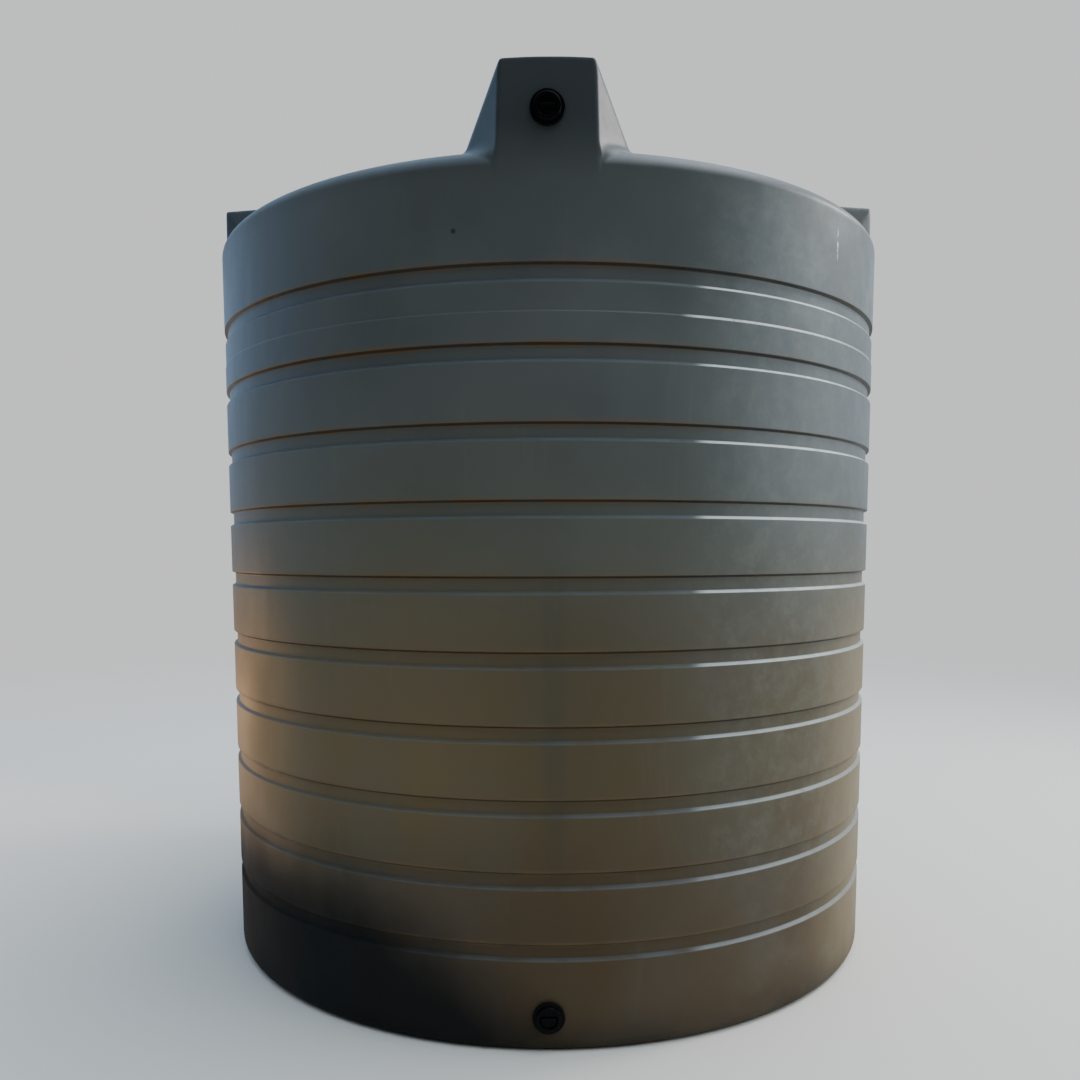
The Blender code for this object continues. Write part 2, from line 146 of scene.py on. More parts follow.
class Body:
    """Points and faces of one closed piece."""

    def __init__(self):
        """Start with no points and no faces."""
        self.points = []
        self.faces = []
        self.count = 0

    def add(self, points):
        """Keep an array of points of shape (..., 3) and return their numbers in the same shape."""
        points = np.asarray(points, dtype=float)
        numbers = self.count + np.arange(points[..., 0].size).reshape(points.shape[:-1])
        self.points.append(points.reshape(-1, 3))
        self.count += numbers.size
        return numbers

    def grid(self, numbers, keep=None):
        """Quads between neighbouring rows of a grid whose columns close round."""
        ahead = np.roll(numbers, -1, axis=1)
        quads = np.stack([numbers[:-1], ahead[:-1], ahead[1:], numbers[1:]], axis=-1)
        self.faces.append(quads[keep] if keep is not None else quads.reshape(-1, 4))

    def join(self, first, second):
        """Quads between two rings of equal count."""
        self.grid(np.stack([first, second]))

    def stitch(self, first, first_angles, second, second_angles):
        """Triangles between two rings of any counts whose corners lie at the given angles."""
        first_angles = first_angles % (2 * np.pi)
        second_angles = second_angles % (2 * np.pi)
        first = first[np.argsort(first_angles)]
        second = second[np.argsort(second_angles)]
        order = np.argsort(np.concatenate([np.sort(first_angles), np.sort(second_angles)]), kind="stable")
        on_first = order < len(first)
        at_first = np.cumsum(on_first) - 1
        at_second = np.cumsum(~on_first) - 1
        new = np.where(on_first, first[at_first], second[at_second])
        before = np.where(on_first, first[at_first - 1], second[at_second - 1])
        across = np.where(on_first, second[at_second], first[at_first])
        self.faces.append(np.stack([before, new, across], axis=-1))

    def cap(self, ring, centre):
        """Triangles from a ring to one middle point."""
        middle = np.full(len(ring), self.add(centre))
        self.faces.append(np.stack([ring, np.roll(ring, -1), middle], axis=-1))

    def bridge(self, outer, inner, hole):
        """The side walls of holes that pass from an outer grid to an inner grid of the same shape.

        hole marks the cells that are open. A wall stands on each edge between an open and a closed
        cell.
        """
        edges = hole != np.roll(hole, 1, axis=1)
        row, column = np.nonzero(edges)
        self._walls(outer, inner, row, column, row + 1, column)
        tall = np.pad(hole, ((1, 1), (0, 0)))
        row, column = np.nonzero(tall[1:] != tall[:-1])
        self._walls(outer, inner, row, column, row, (column + 1) % hole.shape[1])

    def _walls(self, outer, inner, row, column, row_2, column_2):
        """Quads from the outer to the inner grid on the edges from (row, column) to (row_2, column_2)."""
        quads = [outer[row, column], outer[row_2, column_2], inner[row_2, column_2], inner[row, column]]
        self.faces.append(np.stack(quads, axis=-1))


square = Body()
square.cap(square.add([(0, 0, 0), (1, 0, 0), (1, 1, 0), (0, 1, 0)]), (0.5, 0.5, 0.0))
print("a square capped from its middle has", len(square.faces[0]), "triangles")

# %% [markdown]
# ## From arrays to a mesh
#
# Every piece ends in the same way: its faces are turned outwards, its open edges are counted, it gets
# a material, it is hung from the body it rides on, and the CAD node that it stands for is hidden.
# Shading uses normals averaged by face area. A wide flat face then stays flat up to its edge, and only
# the narrow rows of a rounding turn the light. No modifier is needed, since the roundings are rows of
# the grid.

# %% Normals and the finished mesh


def weighted_normals(mesh):
    """Normals of the corners as the sum of face normal times face area."""
    faces = len(mesh.polygons)
    normal = np.empty(faces * 3)
    area = np.empty(faces)
    size = np.empty(faces, dtype=np.int32)
    corner = np.empty(len(mesh.loops), dtype=np.int32)
    mesh.polygons.foreach_get("normal", normal)
    mesh.polygons.foreach_get("area", area)
    mesh.polygons.foreach_get("loop_total", size)
    mesh.loops.foreach_get("vertex_index", corner)
    pull = np.repeat(normal.reshape(-1, 3) * area[:, None], size, axis=0)
    total = np.zeros((len(mesh.vertices), 3))
    np.add.at(total, corner, pull)
    return total / np.maximum(np.linalg.norm(total, axis=1, keepdims=True), 1e-12)


def finish_piece(body, name, finish, node, rides):
    """Make the mesh of a body, face it outwards, hang it from its body and hide the CAD node it stands for.
    """
    faces = [face for group in body.faces for face in group.tolist()]
    mesh = bpy.data.meshes.new(name)
    mesh.from_pydata(np.concatenate(body.points).tolist(), [], faces)
    work = bmesh.new()
    work.from_mesh(mesh)
    bmesh.ops.recalc_face_normals(work, faces=work.faces[:])
    volume = work.calc_volume(signed=True)
    if volume < 0:
        bmesh.ops.reverse_faces(work, faces=work.faces[:])
    loose = sum(len(edge.link_faces) != 2 for edge in work.edges)
    work.to_mesh(mesh)
    work.free()
    mesh.polygons.foreach_set("use_smooth", [True] * len(mesh.polygons))
    mesh.normals_split_custom_set_from_vertices(weighted_normals(mesh).tolist())
    mesh.materials.append(finish)
    item = bpy.data.objects.new(name, mesh)
    bpy.context.scene.collection.objects.link(item)
    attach(item, rides)
    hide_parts(node)
    triangles = sum(len(face) - 2 for face in faces)
    print(f"{name}: {triangles} triangles, {loose} open edges, volume {abs(volume) * 1000:.3f} litres")


# %% [markdown]
# ## Turned surfaces and threads
#
# A turned surface is a grid: one row per profile point and one column per angle. The angle is measured
# from the front, so 0 faces -Y and 90 degrees faces +X. A screw thread is a wave on that grid. Its
# phase grows with the height and falls with the angle, so a crest climbs by one pitch a turn.

# %% Turned surfaces


def runs(start, *parts):
    """Values from a start through several ends, each reached in its own number of equal steps."""
    values = [np.array([start])]
    for end, steps in parts:
        values.append(np.linspace(values[-1][-1], end, steps + 1)[1:])
    return np.concatenate(values)


def ring_angles(count):
    """Equal angles round a full turn."""
    return np.arange(count) * 2 * np.pi / count


def turned_grid(radius, height, angles):
    """Points of a surface turned about the Z axis: (r sin a, -r cos a, z)."""
    radius, height, angles = np.broadcast_arrays(radius, height, angles)
    return np.stack([radius * np.sin(angles), -radius * np.cos(angles), height], axis=-1)


def column(values):
    """A list of profile values as a column, ready to meet a row of angles."""
    return np.asarray(values, dtype=float)[:, None]


def arc(centre_r, centre_z, radius, start, stop, steps):
    """Points on a circle from one angle to another, in degrees, as rows of (r, z)."""
    turn = np.radians(np.linspace(start, stop, steps + 1))
    return np.stack([centre_r + radius * np.cos(turn), centre_z + radius * np.sin(turn)], axis=-1)


def smoothstep(value):
    """3t^2 - 2t^3, held to 0 below 0 and to 1 above 1."""
    t = np.clip(value, 0.0, 1.0)
    return t * t * (3 - 2 * t)


def thread_wave(height, angles, pitch, crest_share):
    """1 on the crest of a right-hand thread and 0 in its root, with straight flanks.

    The value is 1 - away / (1 - crest_share) + crest_share, held between 0 and 1, where away grows from
    0 in the middle of a crest to 1 in the middle of a root.
    """
    phase = (height / pitch - angles / (2 * np.pi)) % 1.0
    away = np.abs(phase - 0.5) * 2
    return np.clip(1 - away / (1 - crest_share) + crest_share, 0.0, 1.0)


print("thread wave at the crest and the root:", thread_wave(np.array([0.5, 0.0]), 0.0, 1.0, 0.3))

# %% [markdown]
# ## Materials
#
# The tank is dark olive polyethylene that stands in a dusty yard. A finish starts from a plain shader,
# and marks are laid over its colour one by one. Each mark is a mask made of ramps on the object's own
# coordinates and of noise, so it stays sharp at any distance and sits on the real shape. An image
# would need an unwrapped surface and would blur up close.

# %% A finish and short ways to build it


class Finish:
    """A Principled material and short ways to add nodes to it."""

    def __init__(self, name, colour, roughness, metallic=0.0, specular=0.5):
        """Start from a plain shader with these values."""
        self.material = bpy.data.materials.new(name)
        self.material.use_nodes = True
        self.nodes = self.material.node_tree.nodes
        self.links = self.material.node_tree.links
        self.shader = self.nodes["Principled BSDF"]
        self.shader.inputs["Base Color"].default_value = (*colour, 1.0)
        self.shader.inputs["Roughness"].default_value = roughness
        self.shader.inputs["Metallic"].default_value = metallic
        self.shader.inputs["Specular IOR Level"].default_value = specular
        self.place = self.nodes.new("ShaderNodeTexCoord").outputs["Object"]

    def node(self, kind, settings=(), **inputs):
        """Add a node, set its properties, and set or link its inputs by name or number."""
        node = self.nodes.new(kind)
        for key, value in settings:
            setattr(node, key, value)
        for key, value in inputs.items():
            socket = node.inputs[int(key[1:])] if key[1:].isdigit() else node.inputs[key.replace("_", " ")]
            if isinstance(value, bpy.types.NodeSocket):
                self.links.new(value, socket)
            else:
                socket.default_value = value
        return node

    def stretched(self, scale, shift=(0.0, 0.0, 0.0)):
        """The object's coordinates, scaled along each axis."""
        return self.node("ShaderNodeMapping", Vector=self.place, Scale=scale, Location=shift).outputs[0]

    def noise(self, scale, detail=4.0, place=None, roughness=0.55):
        """A noise value about 0.5."""
        vector = self.place if place is None else place
        return self.node("ShaderNodeTexNoise", Vector=vector, Scale=scale, Detail=detail,
                         Roughness=roughness).outputs["Fac"]

    def ramp(self, value, low, high, start=0.0, stop=1.0):
        """Carry a value from the range low to high into start to stop, smoothly and clamped."""
        return self.node("ShaderNodeMapRange", [("interpolation_type", "SMOOTHSTEP")], Value=value,
                         From_Min=low, From_Max=high, To_Min=start, To_Max=stop).outputs[0]

    def math(self, operation, a, b=0.0):
        """One arithmetic step."""
        return self.node("ShaderNodeMath", [("operation", operation)], _0=a, _1=b).outputs[0]

    def product(self, *values):
        """Masks multiplied, so that a mark shows only where all of them are open."""
        total = values[0]
        for value in values[1:]:
            total = self.math("MULTIPLY", total, value)
        return total

    def apart(self, value, other):
        """How far a value is from another, without its sign."""
        return self.math("ABSOLUTE", self.math("SUBTRACT", value, other))

    def distance(self, place, point):
        """Distance from a place to a fixed point."""
        settings = [("operation", "DISTANCE")]
        return self.node("ShaderNodeVectorMath", settings, _0=place, _1=point).outputs["Value"]

    def mix(self, share, a, b):
        """A colour between a and b."""
        node = self.node("ShaderNodeMix", [("data_type", "RGBA")], _0=share)
        for socket, value in ((node.inputs[6], a), (node.inputs[7], b)):
            if isinstance(value, bpy.types.NodeSocket):
                self.links.new(value, socket)
            else:
                socket.default_value = (*value, 1.0)
        return node.outputs[2]

    def axis(self, name):
        """One coordinate."""
        return self.node("ShaderNodeSeparateXYZ", Vector=self.place).outputs[name]

    def bump(self, height, strength, distance):
        """Tilt the shading by a height."""
        node = self.node("ShaderNodeBump", Height=height, Strength=strength, Distance=distance)
        self.links.new(node.outputs[0], self.shader.inputs["Normal"])

    def feed(self, name, value):
        """Drive one input of the shader."""
        self.links.new(value, self.shader.inputs[name])


print("a finish can add", [name for name in vars(Finish) if not name.startswith("_")])

# %% [markdown]
# ## The marks on the tank's wall
#
# Over the olive base lie, in this order: soil that thickens towards the ground, paler and warmer at the
# left with painted warm light from the sunlit ground, with one faint run mark down the middle; faint
# streaks all over, fine scuffs on the right and soft ones high up there, one run of drips, and the flash
# on the parting line, painted bright at the right as a highlight; along each groove a brown band and a
# painted shade line under the upper flank, and a painted sky reflection and, at the right, a painted
# glint on the ledge at its foot; and a painted shadow at the lower left, with one dark spot high up.
# The grooves repeat, so their marks are drawn once, over the height from the nearest groove's middle,
# which is the height folded into one pitch. Places are in metres: across is X and height is Z. Colours
# are the shares of red, green and blue light that come back.

# %% Places and colours of the marks
DARK_SPOT = (-0.242, -1.114, 2.189)
DRIP_MIDDLE = (0.842, -0.769, 2.256)
DRIP_FLATTEN = 0.09
RUN_MARK = 0.015
UPPER_FLANK = GROOVE_WIDTH / 2 - 0.0027
LOWER_FLANK = 0.0020 - GROOVE_WIDTH / 2
GROOVED_FROM = (0.250, 0.262)
GROOVED_TO = (2.125, 2.115)
# the painted shadow's edge climbs to this height at the left
SHADOW_TOP = 0.40

# the left colours are soil and dust with painted warm light from the sunlit ground
SOIL_RIGHT, SOIL_WARM_LIT_LEFT = (0.082, 0.060, 0.026), (0.140, 0.098, 0.038)
OLIVE_RIGHT, OLIVE_WARM_LIT_LEFT = (0.086, 0.085, 0.056), (0.126, 0.116, 0.068)
SOIL_AT_FOOT = (0.066, 0.042, 0.017)
# the left one is soil with painted warm light from the sunlit ground
WARM_SOIL_RIGHT, SOIL_AND_GLOW_LEFT = (0.230, 0.165, 0.085), (0.280, 0.165, 0.066)
RUN_COLOUR = (0.034, 0.034, 0.026)
STREAK_COLOUR = (0.24, 0.24, 0.21)
FINE_SCUFF, SOFT_SCUFF = (0.190, 0.195, 0.150), (0.19, 0.22, 0.20)
DRIP_COLOUR = (0.60, 0.63, 0.62)
# flash on the parting line with a painted highlight
FLASH_AND_GLINT_COLOUR = (0.66, 0.69, 0.67)
# a brown band along the grooves' upper flanks
BROWN_BAND_COLOUR = (0.125, 0.078, 0.031)
# painted shade: the dark line under each groove's upper lip
SHADE_LINE_RIGHT, SHADE_LINE_LEFT = (0.010, 0.010, 0.010), (0.028, 0.015, 0.005)
# painted sky reflection: the pale bluish line on each groove's lower flank
SKY_LINE_RIGHT, SKY_LINE_LEFT = (0.150, 0.180, 0.200), (0.105, 0.140, 0.165)
# painted highlight: the glint on the ledges at the right
GLINT_COLOUR = (0.84, 0.87, 0.84)
# painted shadow at the lower left
PAINTED_SHADOW_COLOUR = (0.003, 0.004, 0.004)
SPOT_COLOUR = (0.012, 0.012, 0.012)
print("the flanks lie", round(UPPER_FLANK, 4), "and", round(LOWER_FLANK, 4), "from a groove's middle")

# %% [markdown]
# ### Soil, and painted warm light at the left
#
# Rain throws soil up the wall, thinner with height: brown below about a metre, olive dust above, and
# warmer soil at the right. At the left the soil and dust are paler and warmer: that is painted warm
# light from the sunlit ground over the soil, and it is painted strongest low at the far left. A single
# gradient would look sprayed on, so a noise thins it in patches. Water ran down the middle and left
# one faint darker mark.

# %% Soil and painted warm light


def soil_and_warm_light(f, base, across, height, in_front):
    """Soil splashed up by rain: olive dust at half height, brown below, warmer at the right; paler and warmer
    at the left with painted warm light.
    """
    patches = f.ramp(f.noise(3.0, 6.0, f.stretched((1.0, 1.0, 0.45))), 0.25, 0.70, 0.72, 1.0)
    share = f.product(f.ramp(height, 2.0, 0.85), patches)
    # painted warm light from the sunlit ground, growing towards the left
    left = f.ramp(across, 0.10, -0.40)
    brown = f.mix(left, SOIL_RIGHT, SOIL_WARM_LIT_LEFT)
    low = f.mix(f.ramp(height, 0.78, 0.32), brown, SOIL_AT_FOOT)
    olive = f.mix(left, OLIVE_RIGHT, OLIVE_WARM_LIT_LEFT)
    base = f.mix(share, base, f.mix(f.ramp(height, 1.05, 1.55), low, olive))
    # soil with painted warm light from the sunlit ground, low at the far left
    beside = f.product(f.ramp(across, -0.60, -1.08), f.ramp(height, 1.22, 0.84), f.ramp(height, 0.30, 0.52))
    base = f.mix(f.product(beside, in_front, 0.9), base, SOIL_AND_GLOW_LEFT)
    beside = f.product(f.ramp(across, 0.72, 1.06), f.ramp(height, 1.45, 0.95), 0.7)
    base = f.mix(f.product(beside, in_front), base, WARM_SOIL_RIGHT)
    run = f.product(f.ramp(f.apart(across, RUN_MARK), 0.044, 0.012), f.ramp(height, 1.42, 1.05), in_front)
    run = f.product(run, f.ramp(height, 0.40, 0.60), f.ramp(f.noise(9.0, 3.0), 0.30, 0.60, 0.6, 1.0), 0.27)
    return f.mix(run, base, RUN_COLOUR), share


# %% [markdown]
# ### Pale marks
#
# Handling leaves scuffs, which scatter light and so look pale. In the photo they show on the right,
# where the light grazes the wall. The halves of the mould met on the parting line and left a thin
# flash there. From the right of the middle on, it is painted nearly white, a painted highlight where
# the light catches its step. Each mark is a mask of its own, so that one can be changed without the
# others.

# %% Pale marks


def pale_marks(f, base, across, height, in_front):
    """Fine streaks, scuffs at the right, soft ones high up, a run of drips, and flash on the parting line
    with a painted highlight.
    """
    streaks = f.ramp(f.noise(26.0, 3.0, f.stretched((1.0, 1.0, 0.12))), 0.60, 0.80)
    base = f.mix(f.product(streaks, 0.05), base, STREAK_COLOUR)
    fine = f.ramp(f.noise(16.0, 9.0, f.stretched((1.0, 1.0, 1.0), (0.4, 2.2, 1.3)), 0.72), 0.42, 0.70)
    fine = f.product(fine, f.ramp(across, 0.28, 0.60), f.ramp(height, 0.30, 0.60), in_front, 0.19)
    base = f.mix(f.product(fine, f.ramp(height, 2.36, 2.30)), base, FINE_SCUFF)
    patches = f.ramp(f.noise(5.0, 8.0, f.stretched((1.0, 1.0, 1.4), (3.1, 0.7, 0.2)), 0.68), 0.42, 0.72)
    reach = f.product(f.ramp(height, 1.85, 2.10, 0.10, 0.40), f.ramp(height, 2.38, 2.33), in_front)
    base = f.mix(f.product(patches, reach, f.ramp(across, 0.25, 0.75)), base, SOFT_SCUFF)
    flat = tuple(a * b for a, b in zip(DRIP_MIDDLE, (1.0, 1.0, DRIP_FLATTEN)))
    drip = f.ramp(f.distance(f.stretched((1.0, 1.0, DRIP_FLATTEN)), flat), 0.0050, 0.0022)
    base = f.mix(f.product(drip, f.ramp(f.noise(60.0, 2.0), 0.40, 0.50)), base, DRIP_COLOUR)
    # the parting line's flash, painted nearly white from the right of the middle as a highlight on its step
    line = f.ramp(f.apart(height, PARTING_HEIGHT), 0.0045, 0.0020)
    ragged = f.ramp(f.noise(45.0, 4.0), 0.26, 0.46)
    along = f.product(f.ramp(across, 0.34, 0.40), f.ramp(across, 0.60, 1.0, 1.0, 0.30), in_front)
    return f.mix(f.product(line, ragged, along), base, FLASH_AND_GLINT_COLOUR)


# %% [markdown]
# ### Marks in the grooves
#
# Each groove's upper flank gets a brown band, stronger at the left, and a thin dark line of painted shade
# under its lip. The lower flank gets a pale bluish line of painted sky reflection, and at the right a
# painted glint on its edge. All ten grooves are drawn at once: the height is divided by the pitch, and
# the fraction says where in a groove a point lies.

# %% Marks in the grooves


def groove_marks(f, base, across, height, in_front):
    """A brown band and a painted shade line at each groove's upper flank, and a painted sky reflection and
    glint at its foot.
    """
    middle = LOWEST_GROOVE_FOOT + GROOVE_WIDTH / 2
    turns = f.math("DIVIDE", f.math("SUBTRACT", height, middle - GROOVE_PITCH / 2), GROOVE_PITCH)
    folded = f.math("MULTIPLY", f.math("SUBTRACT", f.math("FRACT", turns), 0.5), GROOVE_PITCH)
    grooved = f.product(f.ramp(height, *GROOVED_FROM), f.ramp(height, *GROOVED_TO))
    left = f.ramp(across, 0.45, 0.05)
    from_upper = f.apart(folded, UPPER_FLANK)
    patches = f.ramp(f.noise(7.0, 5.0), 0.35, 0.60, 0.2, 1.0)
    # a brown band along each groove's upper flank, stronger at the left
    brown_band = f.product(f.ramp(from_upper, 0.014, 0.003), patches, grooved, f.ramp(across, 0.6, -0.6, 0.4, 0.9))
    base = f.mix(brown_band, base, BROWN_BAND_COLOUR)
    # painted shade: a thin dark line under each groove's upper lip
    shade_line = f.product(f.ramp(from_upper, 0.0040, 0.0024), grooved, 0.88)
    base = f.mix(shade_line, base, f.mix(left, SHADE_LINE_RIGHT, SHADE_LINE_LEFT))
    # painted sky reflection: a pale bluish line on each groove's lower flank
    from_lower = f.apart(folded, LOWER_FLANK)
    patches = f.ramp(f.noise(12.0, 4.0), 0.30, 0.60, 0.4, 1.0)
    along = f.ramp(across, -0.9, 0.4, 0.22, 0.42)
    pale_share = f.product(f.ramp(from_lower, 0.0075, 0.0020), patches, grooved, along)
    base = f.mix(pale_share, base, f.mix(left, SKY_LINE_RIGHT, SKY_LINE_LEFT))
    # painted highlight: a glint on the ledge's edge at the right, stronger higher up
    ragged = f.ramp(f.noise(14.0, 3.0), 0.25, 0.50, 0.6, 1.0)
    glint = f.product(f.ramp(from_lower, 0.0048, 0.0026), grooved, in_front, ragged)
    glint = f.product(glint, f.ramp(across, 0.38, 0.44), f.ramp(across, 0.75, 1.05, 1.0, 0.5))
    return f.mix(f.product(glint, f.ramp(height, 0.3, 1.9, 0.15, 0.95)), base, GLINT_COLOUR)


# %% [markdown]
# ### A painted shadow at the foot
#
# The lower left of the wall is darkened nearly to black by a painted shadow, and made rougher there.
# Its edge climbs to the left, so the mask takes the height over a line that rises that way, and a noise
# makes the edge uneven. The one small dark spot high on the left is a plain distance to a point.

# %% A painted shadow at the foot


def shadow_and_spot(f, base, across, height, in_front):
    """A painted shadow at the lower left, and one small dark spot high on the left."""
    # painted shadow: the lower left darkened nearly to black
    edge = f.math("SUBTRACT", height, f.ramp(across, 0.15, -0.62, 0.0, SHADOW_TOP))
    edge = f.math("ADD", edge, f.ramp(f.noise(2.6, 4.0), 0.2, 0.8, -0.05, 0.05))
    share = f.product(f.ramp(edge, 0.20, -0.17), in_front, 0.97)
    base = f.mix(share, base, PAINTED_SHADOW_COLOUR)
    spot = f.ramp(f.distance(f.place, DARK_SPOT), 0.009, 0.004, 0.0, 0.8)
    return f.mix(spot, base, SPOT_COLOUR), share


# %% [markdown]
# ## The finishes
#
# The four finishes are the tank's polyethylene with all its marks, black moulded plastic, rubber and
# brass. Polyethylene is duller than its refraction alone would make it, since the mould leaves a fine
# grain, so its specular level is low. A wave too shallow to see as a shape bends the reflections, as
# a moulded wall does.

# %% Finishes
DUSTY_DARK, DUSTY_PALE = (0.064, 0.071, 0.071), (0.082, 0.089, 0.087)
CLEAN_TOP = (0.029, 0.035, 0.037)
BLACK_CLEAN, BLACK_DUSTY = (0.0012, 0.0012, 0.0018), (0.006, 0.006, 0.006)
RUBBER_DARK, RUBBER_WORN = (0.014, 0.014, 0.014), (0.026, 0.025, 0.024)
BRASS_BRIGHT, BRASS_DULL = (0.62, 0.44, 0.19), (0.42, 0.29, 0.13)


def tank_finish():
    """Olive-grey polyethylene: clean at the top, dusty on the wall, brown low down, marked at the right, with
    painted light and shade.
    """
    f = Finish("tank_grey_fine", (0.080, 0.085, 0.072), 0.45, specular=0.32)
    across, height = f.axis("X"), f.axis("Z")
    in_front = f.ramp(f.axis("Y"), 0.3, -0.3)
    clouds = f.noise(2.2, 5.0)
    dusty = f.mix(f.ramp(clouds, 0.30, 0.74), DUSTY_DARK, DUSTY_PALE)
    base = f.mix(f.ramp(height, 2.30, 2.47), dusty, CLEAN_TOP)
    base, soiled = soil_and_warm_light(f, base, across, height, in_front)
    base = pale_marks(f, base, across, height, in_front)
    base = groove_marks(f, base, across, height, in_front)
    base, shadowed = shadow_and_spot(f, base, across, height, in_front)
    f.feed("Base Color", base)
    rough = f.math("ADD", f.ramp(clouds, 0.3, 0.7, 0.34, 0.46), f.math("MULTIPLY", f.noise(60.0, 3.0), 0.08))
    rough = f.math("ADD", rough, f.math("MULTIPLY", soiled, 0.16))
    # rougher under the painted shadow
    f.feed("Roughness", f.math("ADD", rough, f.math("MULTIPLY", shadowed, 0.40)))
    wave = f.math("MULTIPLY", f.noise(4.0, 2.0, f.stretched((1.0, 1.0, 0.6))), 0.9)
    grain = f.math("MULTIPLY", f.noise(420.0, 2.0), 0.012)
    f.bump(f.math("ADD", wave, grain), 0.5, 0.012)
    return f.material


def black_finish():
    """Black moulded plastic, nearly without a sheen."""
    f = Finish("black_plastic_fine", (0.0015, 0.0015, 0.0020), 0.30, specular=0.08)
    pale_share = f.ramp(f.noise(40.0, 5.0), 0.5, 0.8, 0.0, 0.3)
    f.feed("Base Color", f.mix(pale_share, BLACK_CLEAN, BLACK_DUSTY))
    f.feed("Roughness", f.ramp(f.noise(90.0, 4.0), 0.3, 0.7, 0.22, 0.34))
    f.bump(f.noise(700.0, 2.0), 0.12, 0.0006)
    return f.material


def rubber_finish():
    """Matt black rubber."""
    f = Finish("black_rubber_fine", (0.018, 0.018, 0.018), 0.82)
    f.feed("Base Color", f.mix(f.noise(60.0, 4.0), RUBBER_DARK, RUBBER_WORN))
    f.bump(f.noise(900.0, 2.0), 0.15, 0.0004)
    return f.material


def brass_finish():
    """Dull machined brass."""
    f = Finish("brass_fine", (0.60, 0.42, 0.18), 0.36, 1.0)
    f.feed("Base Color", f.mix(f.noise(35.0, 5.0), BRASS_BRIGHT, BRASS_DULL))
    f.feed("Roughness", f.ramp(f.noise(120.0, 3.0), 0.3, 0.7, 0.28, 0.48))
    return f.material


TANK = tank_finish()
BLACK = black_finish()
RUBBER = rubber_finish()
BRASS = brass_finish()
print("finishes:", [finish.name for finish in (TANK, BLACK, RUBBER, BRASS)])

# %% [markdown]
# ## The tank's top as a distance function
#
# The shoulder is part of an ellipse, the dome part of a sphere, and each boss the space inside nine
# planes. Each has a signed distance: negative inside, positive outside. Joining two bodies takes the
# smaller distance, and keeping what is in both takes the larger. Where the two distances are close, a
# small polynomial is taken off or added, and the sharp edge becomes a rounding: the blend of reach k
# cuts a right angle like a fillet of radius 0.85 k.
#
# Plain joining would raise a bulge where the flat front of a boss runs flush into the wall, so the
# reach of the fillet depends on the angle between the two surfaces, and is nothing where they agree.
#
# The slopes of a boss are given by runs from a corner: x outwards, y back and z up.

# %% Distance functions
CREASE_RUN = (0.56, 0.76, -1.0)
ROOF_EDGE_RUN = (0.23, 1.0, 0.0)
FADE_RUN = (0.0, 0.008, -0.060)
TIP_DROP = 0.117
REAR_TILT = math.radians(42.0)
FILLET_LOSS = 0.6
FILLET_LOSS_DEPTH = 0.20
FILLET_AGREE = 0.75
FILLET_AGREE_SPAN = 0.35


def plane_through(a, b, c, inside):
    """The outward unit normal and the offset of the plane through three points."""
    normal = np.cross(b - a, c - a)
    normal /= np.linalg.norm(normal)
    if normal @ (inside - a) > 0:
        normal = -normal
    return normal, normal @ a


def boss_planes():
    """The faces of a boss that faces -Y, with its roof at height 0 and only its +X side."""
    front = -BOSS_FRONT
    corner = np.array([BOSS_HALF_WIDTH, front, 0.0])
    low = np.array([BOSS_HALF_WIDTH + BOSS_FACE_SPREAD, front, -BOSS_FACE_HEIGHT])
    crease = corner + np.array(CREASE_RUN)
    roof_edge = corner + np.array(ROOF_EDGE_RUN)
    tip = np.array([0.0, front, low[2] - TIP_DROP])
    fade = low + np.array(FADE_RUN)
    inside = np.array([0.0, front + BOSS_ROOF_LENGTH / 2, -BOSS_FACE_HEIGHT / 2])
    rear_normal = np.array([0.0, math.sin(REAR_TILT), math.cos(REAR_TILT)])
    return [
        (np.array([0.0, -1.0, 0.0]), BOSS_FRONT),
        plane_through(corner, low, crease, inside),
        plane_through(corner, crease, roof_edge, inside),
        plane_through(low, tip, fade, inside),
        (np.array([0.0, 0.0, 1.0]), 0.0),
        (rear_normal, rear_normal @ np.array([0.0, front + BOSS_ROOF_LENGTH, 0.0])),
    ]


PLANES = boss_planes()
ROOF = 4


def boss_distance(point, set_in):
    """Distance to a boss, with its normal: the largest plane distance, with rounded edges.

    Two distances closer than the rounding are blended by a share that runs from 0 to 1, plus the
    rounding times share times 1 - share.
    """
    place = np.concatenate([np.abs(point[..., :1]), point[..., 1:]], axis=-1)
    crown = BOSS_CROWN * (place[..., 0] / BOSS_HALF_WIDTH) ** 2 - ROOF_LIFT
    distance = normal = None
    for i, (facing, offset) in enumerate(PLANES):
        away = place @ facing - offset + set_in + (crown if i == ROOF else 0.0)
        if distance is None:
            distance = away
            normal = np.broadcast_to(facing, place.shape)
            continue
        share = np.clip(0.5 + 0.5 * (away - distance) / BOSS_ROUNDING, 0.0, 1.0)
        distance = distance + share * (away - distance) + BOSS_ROUNDING * share * (1 - share)
        normal = normal + share[..., None] * (facing - normal)
    return distance, normal


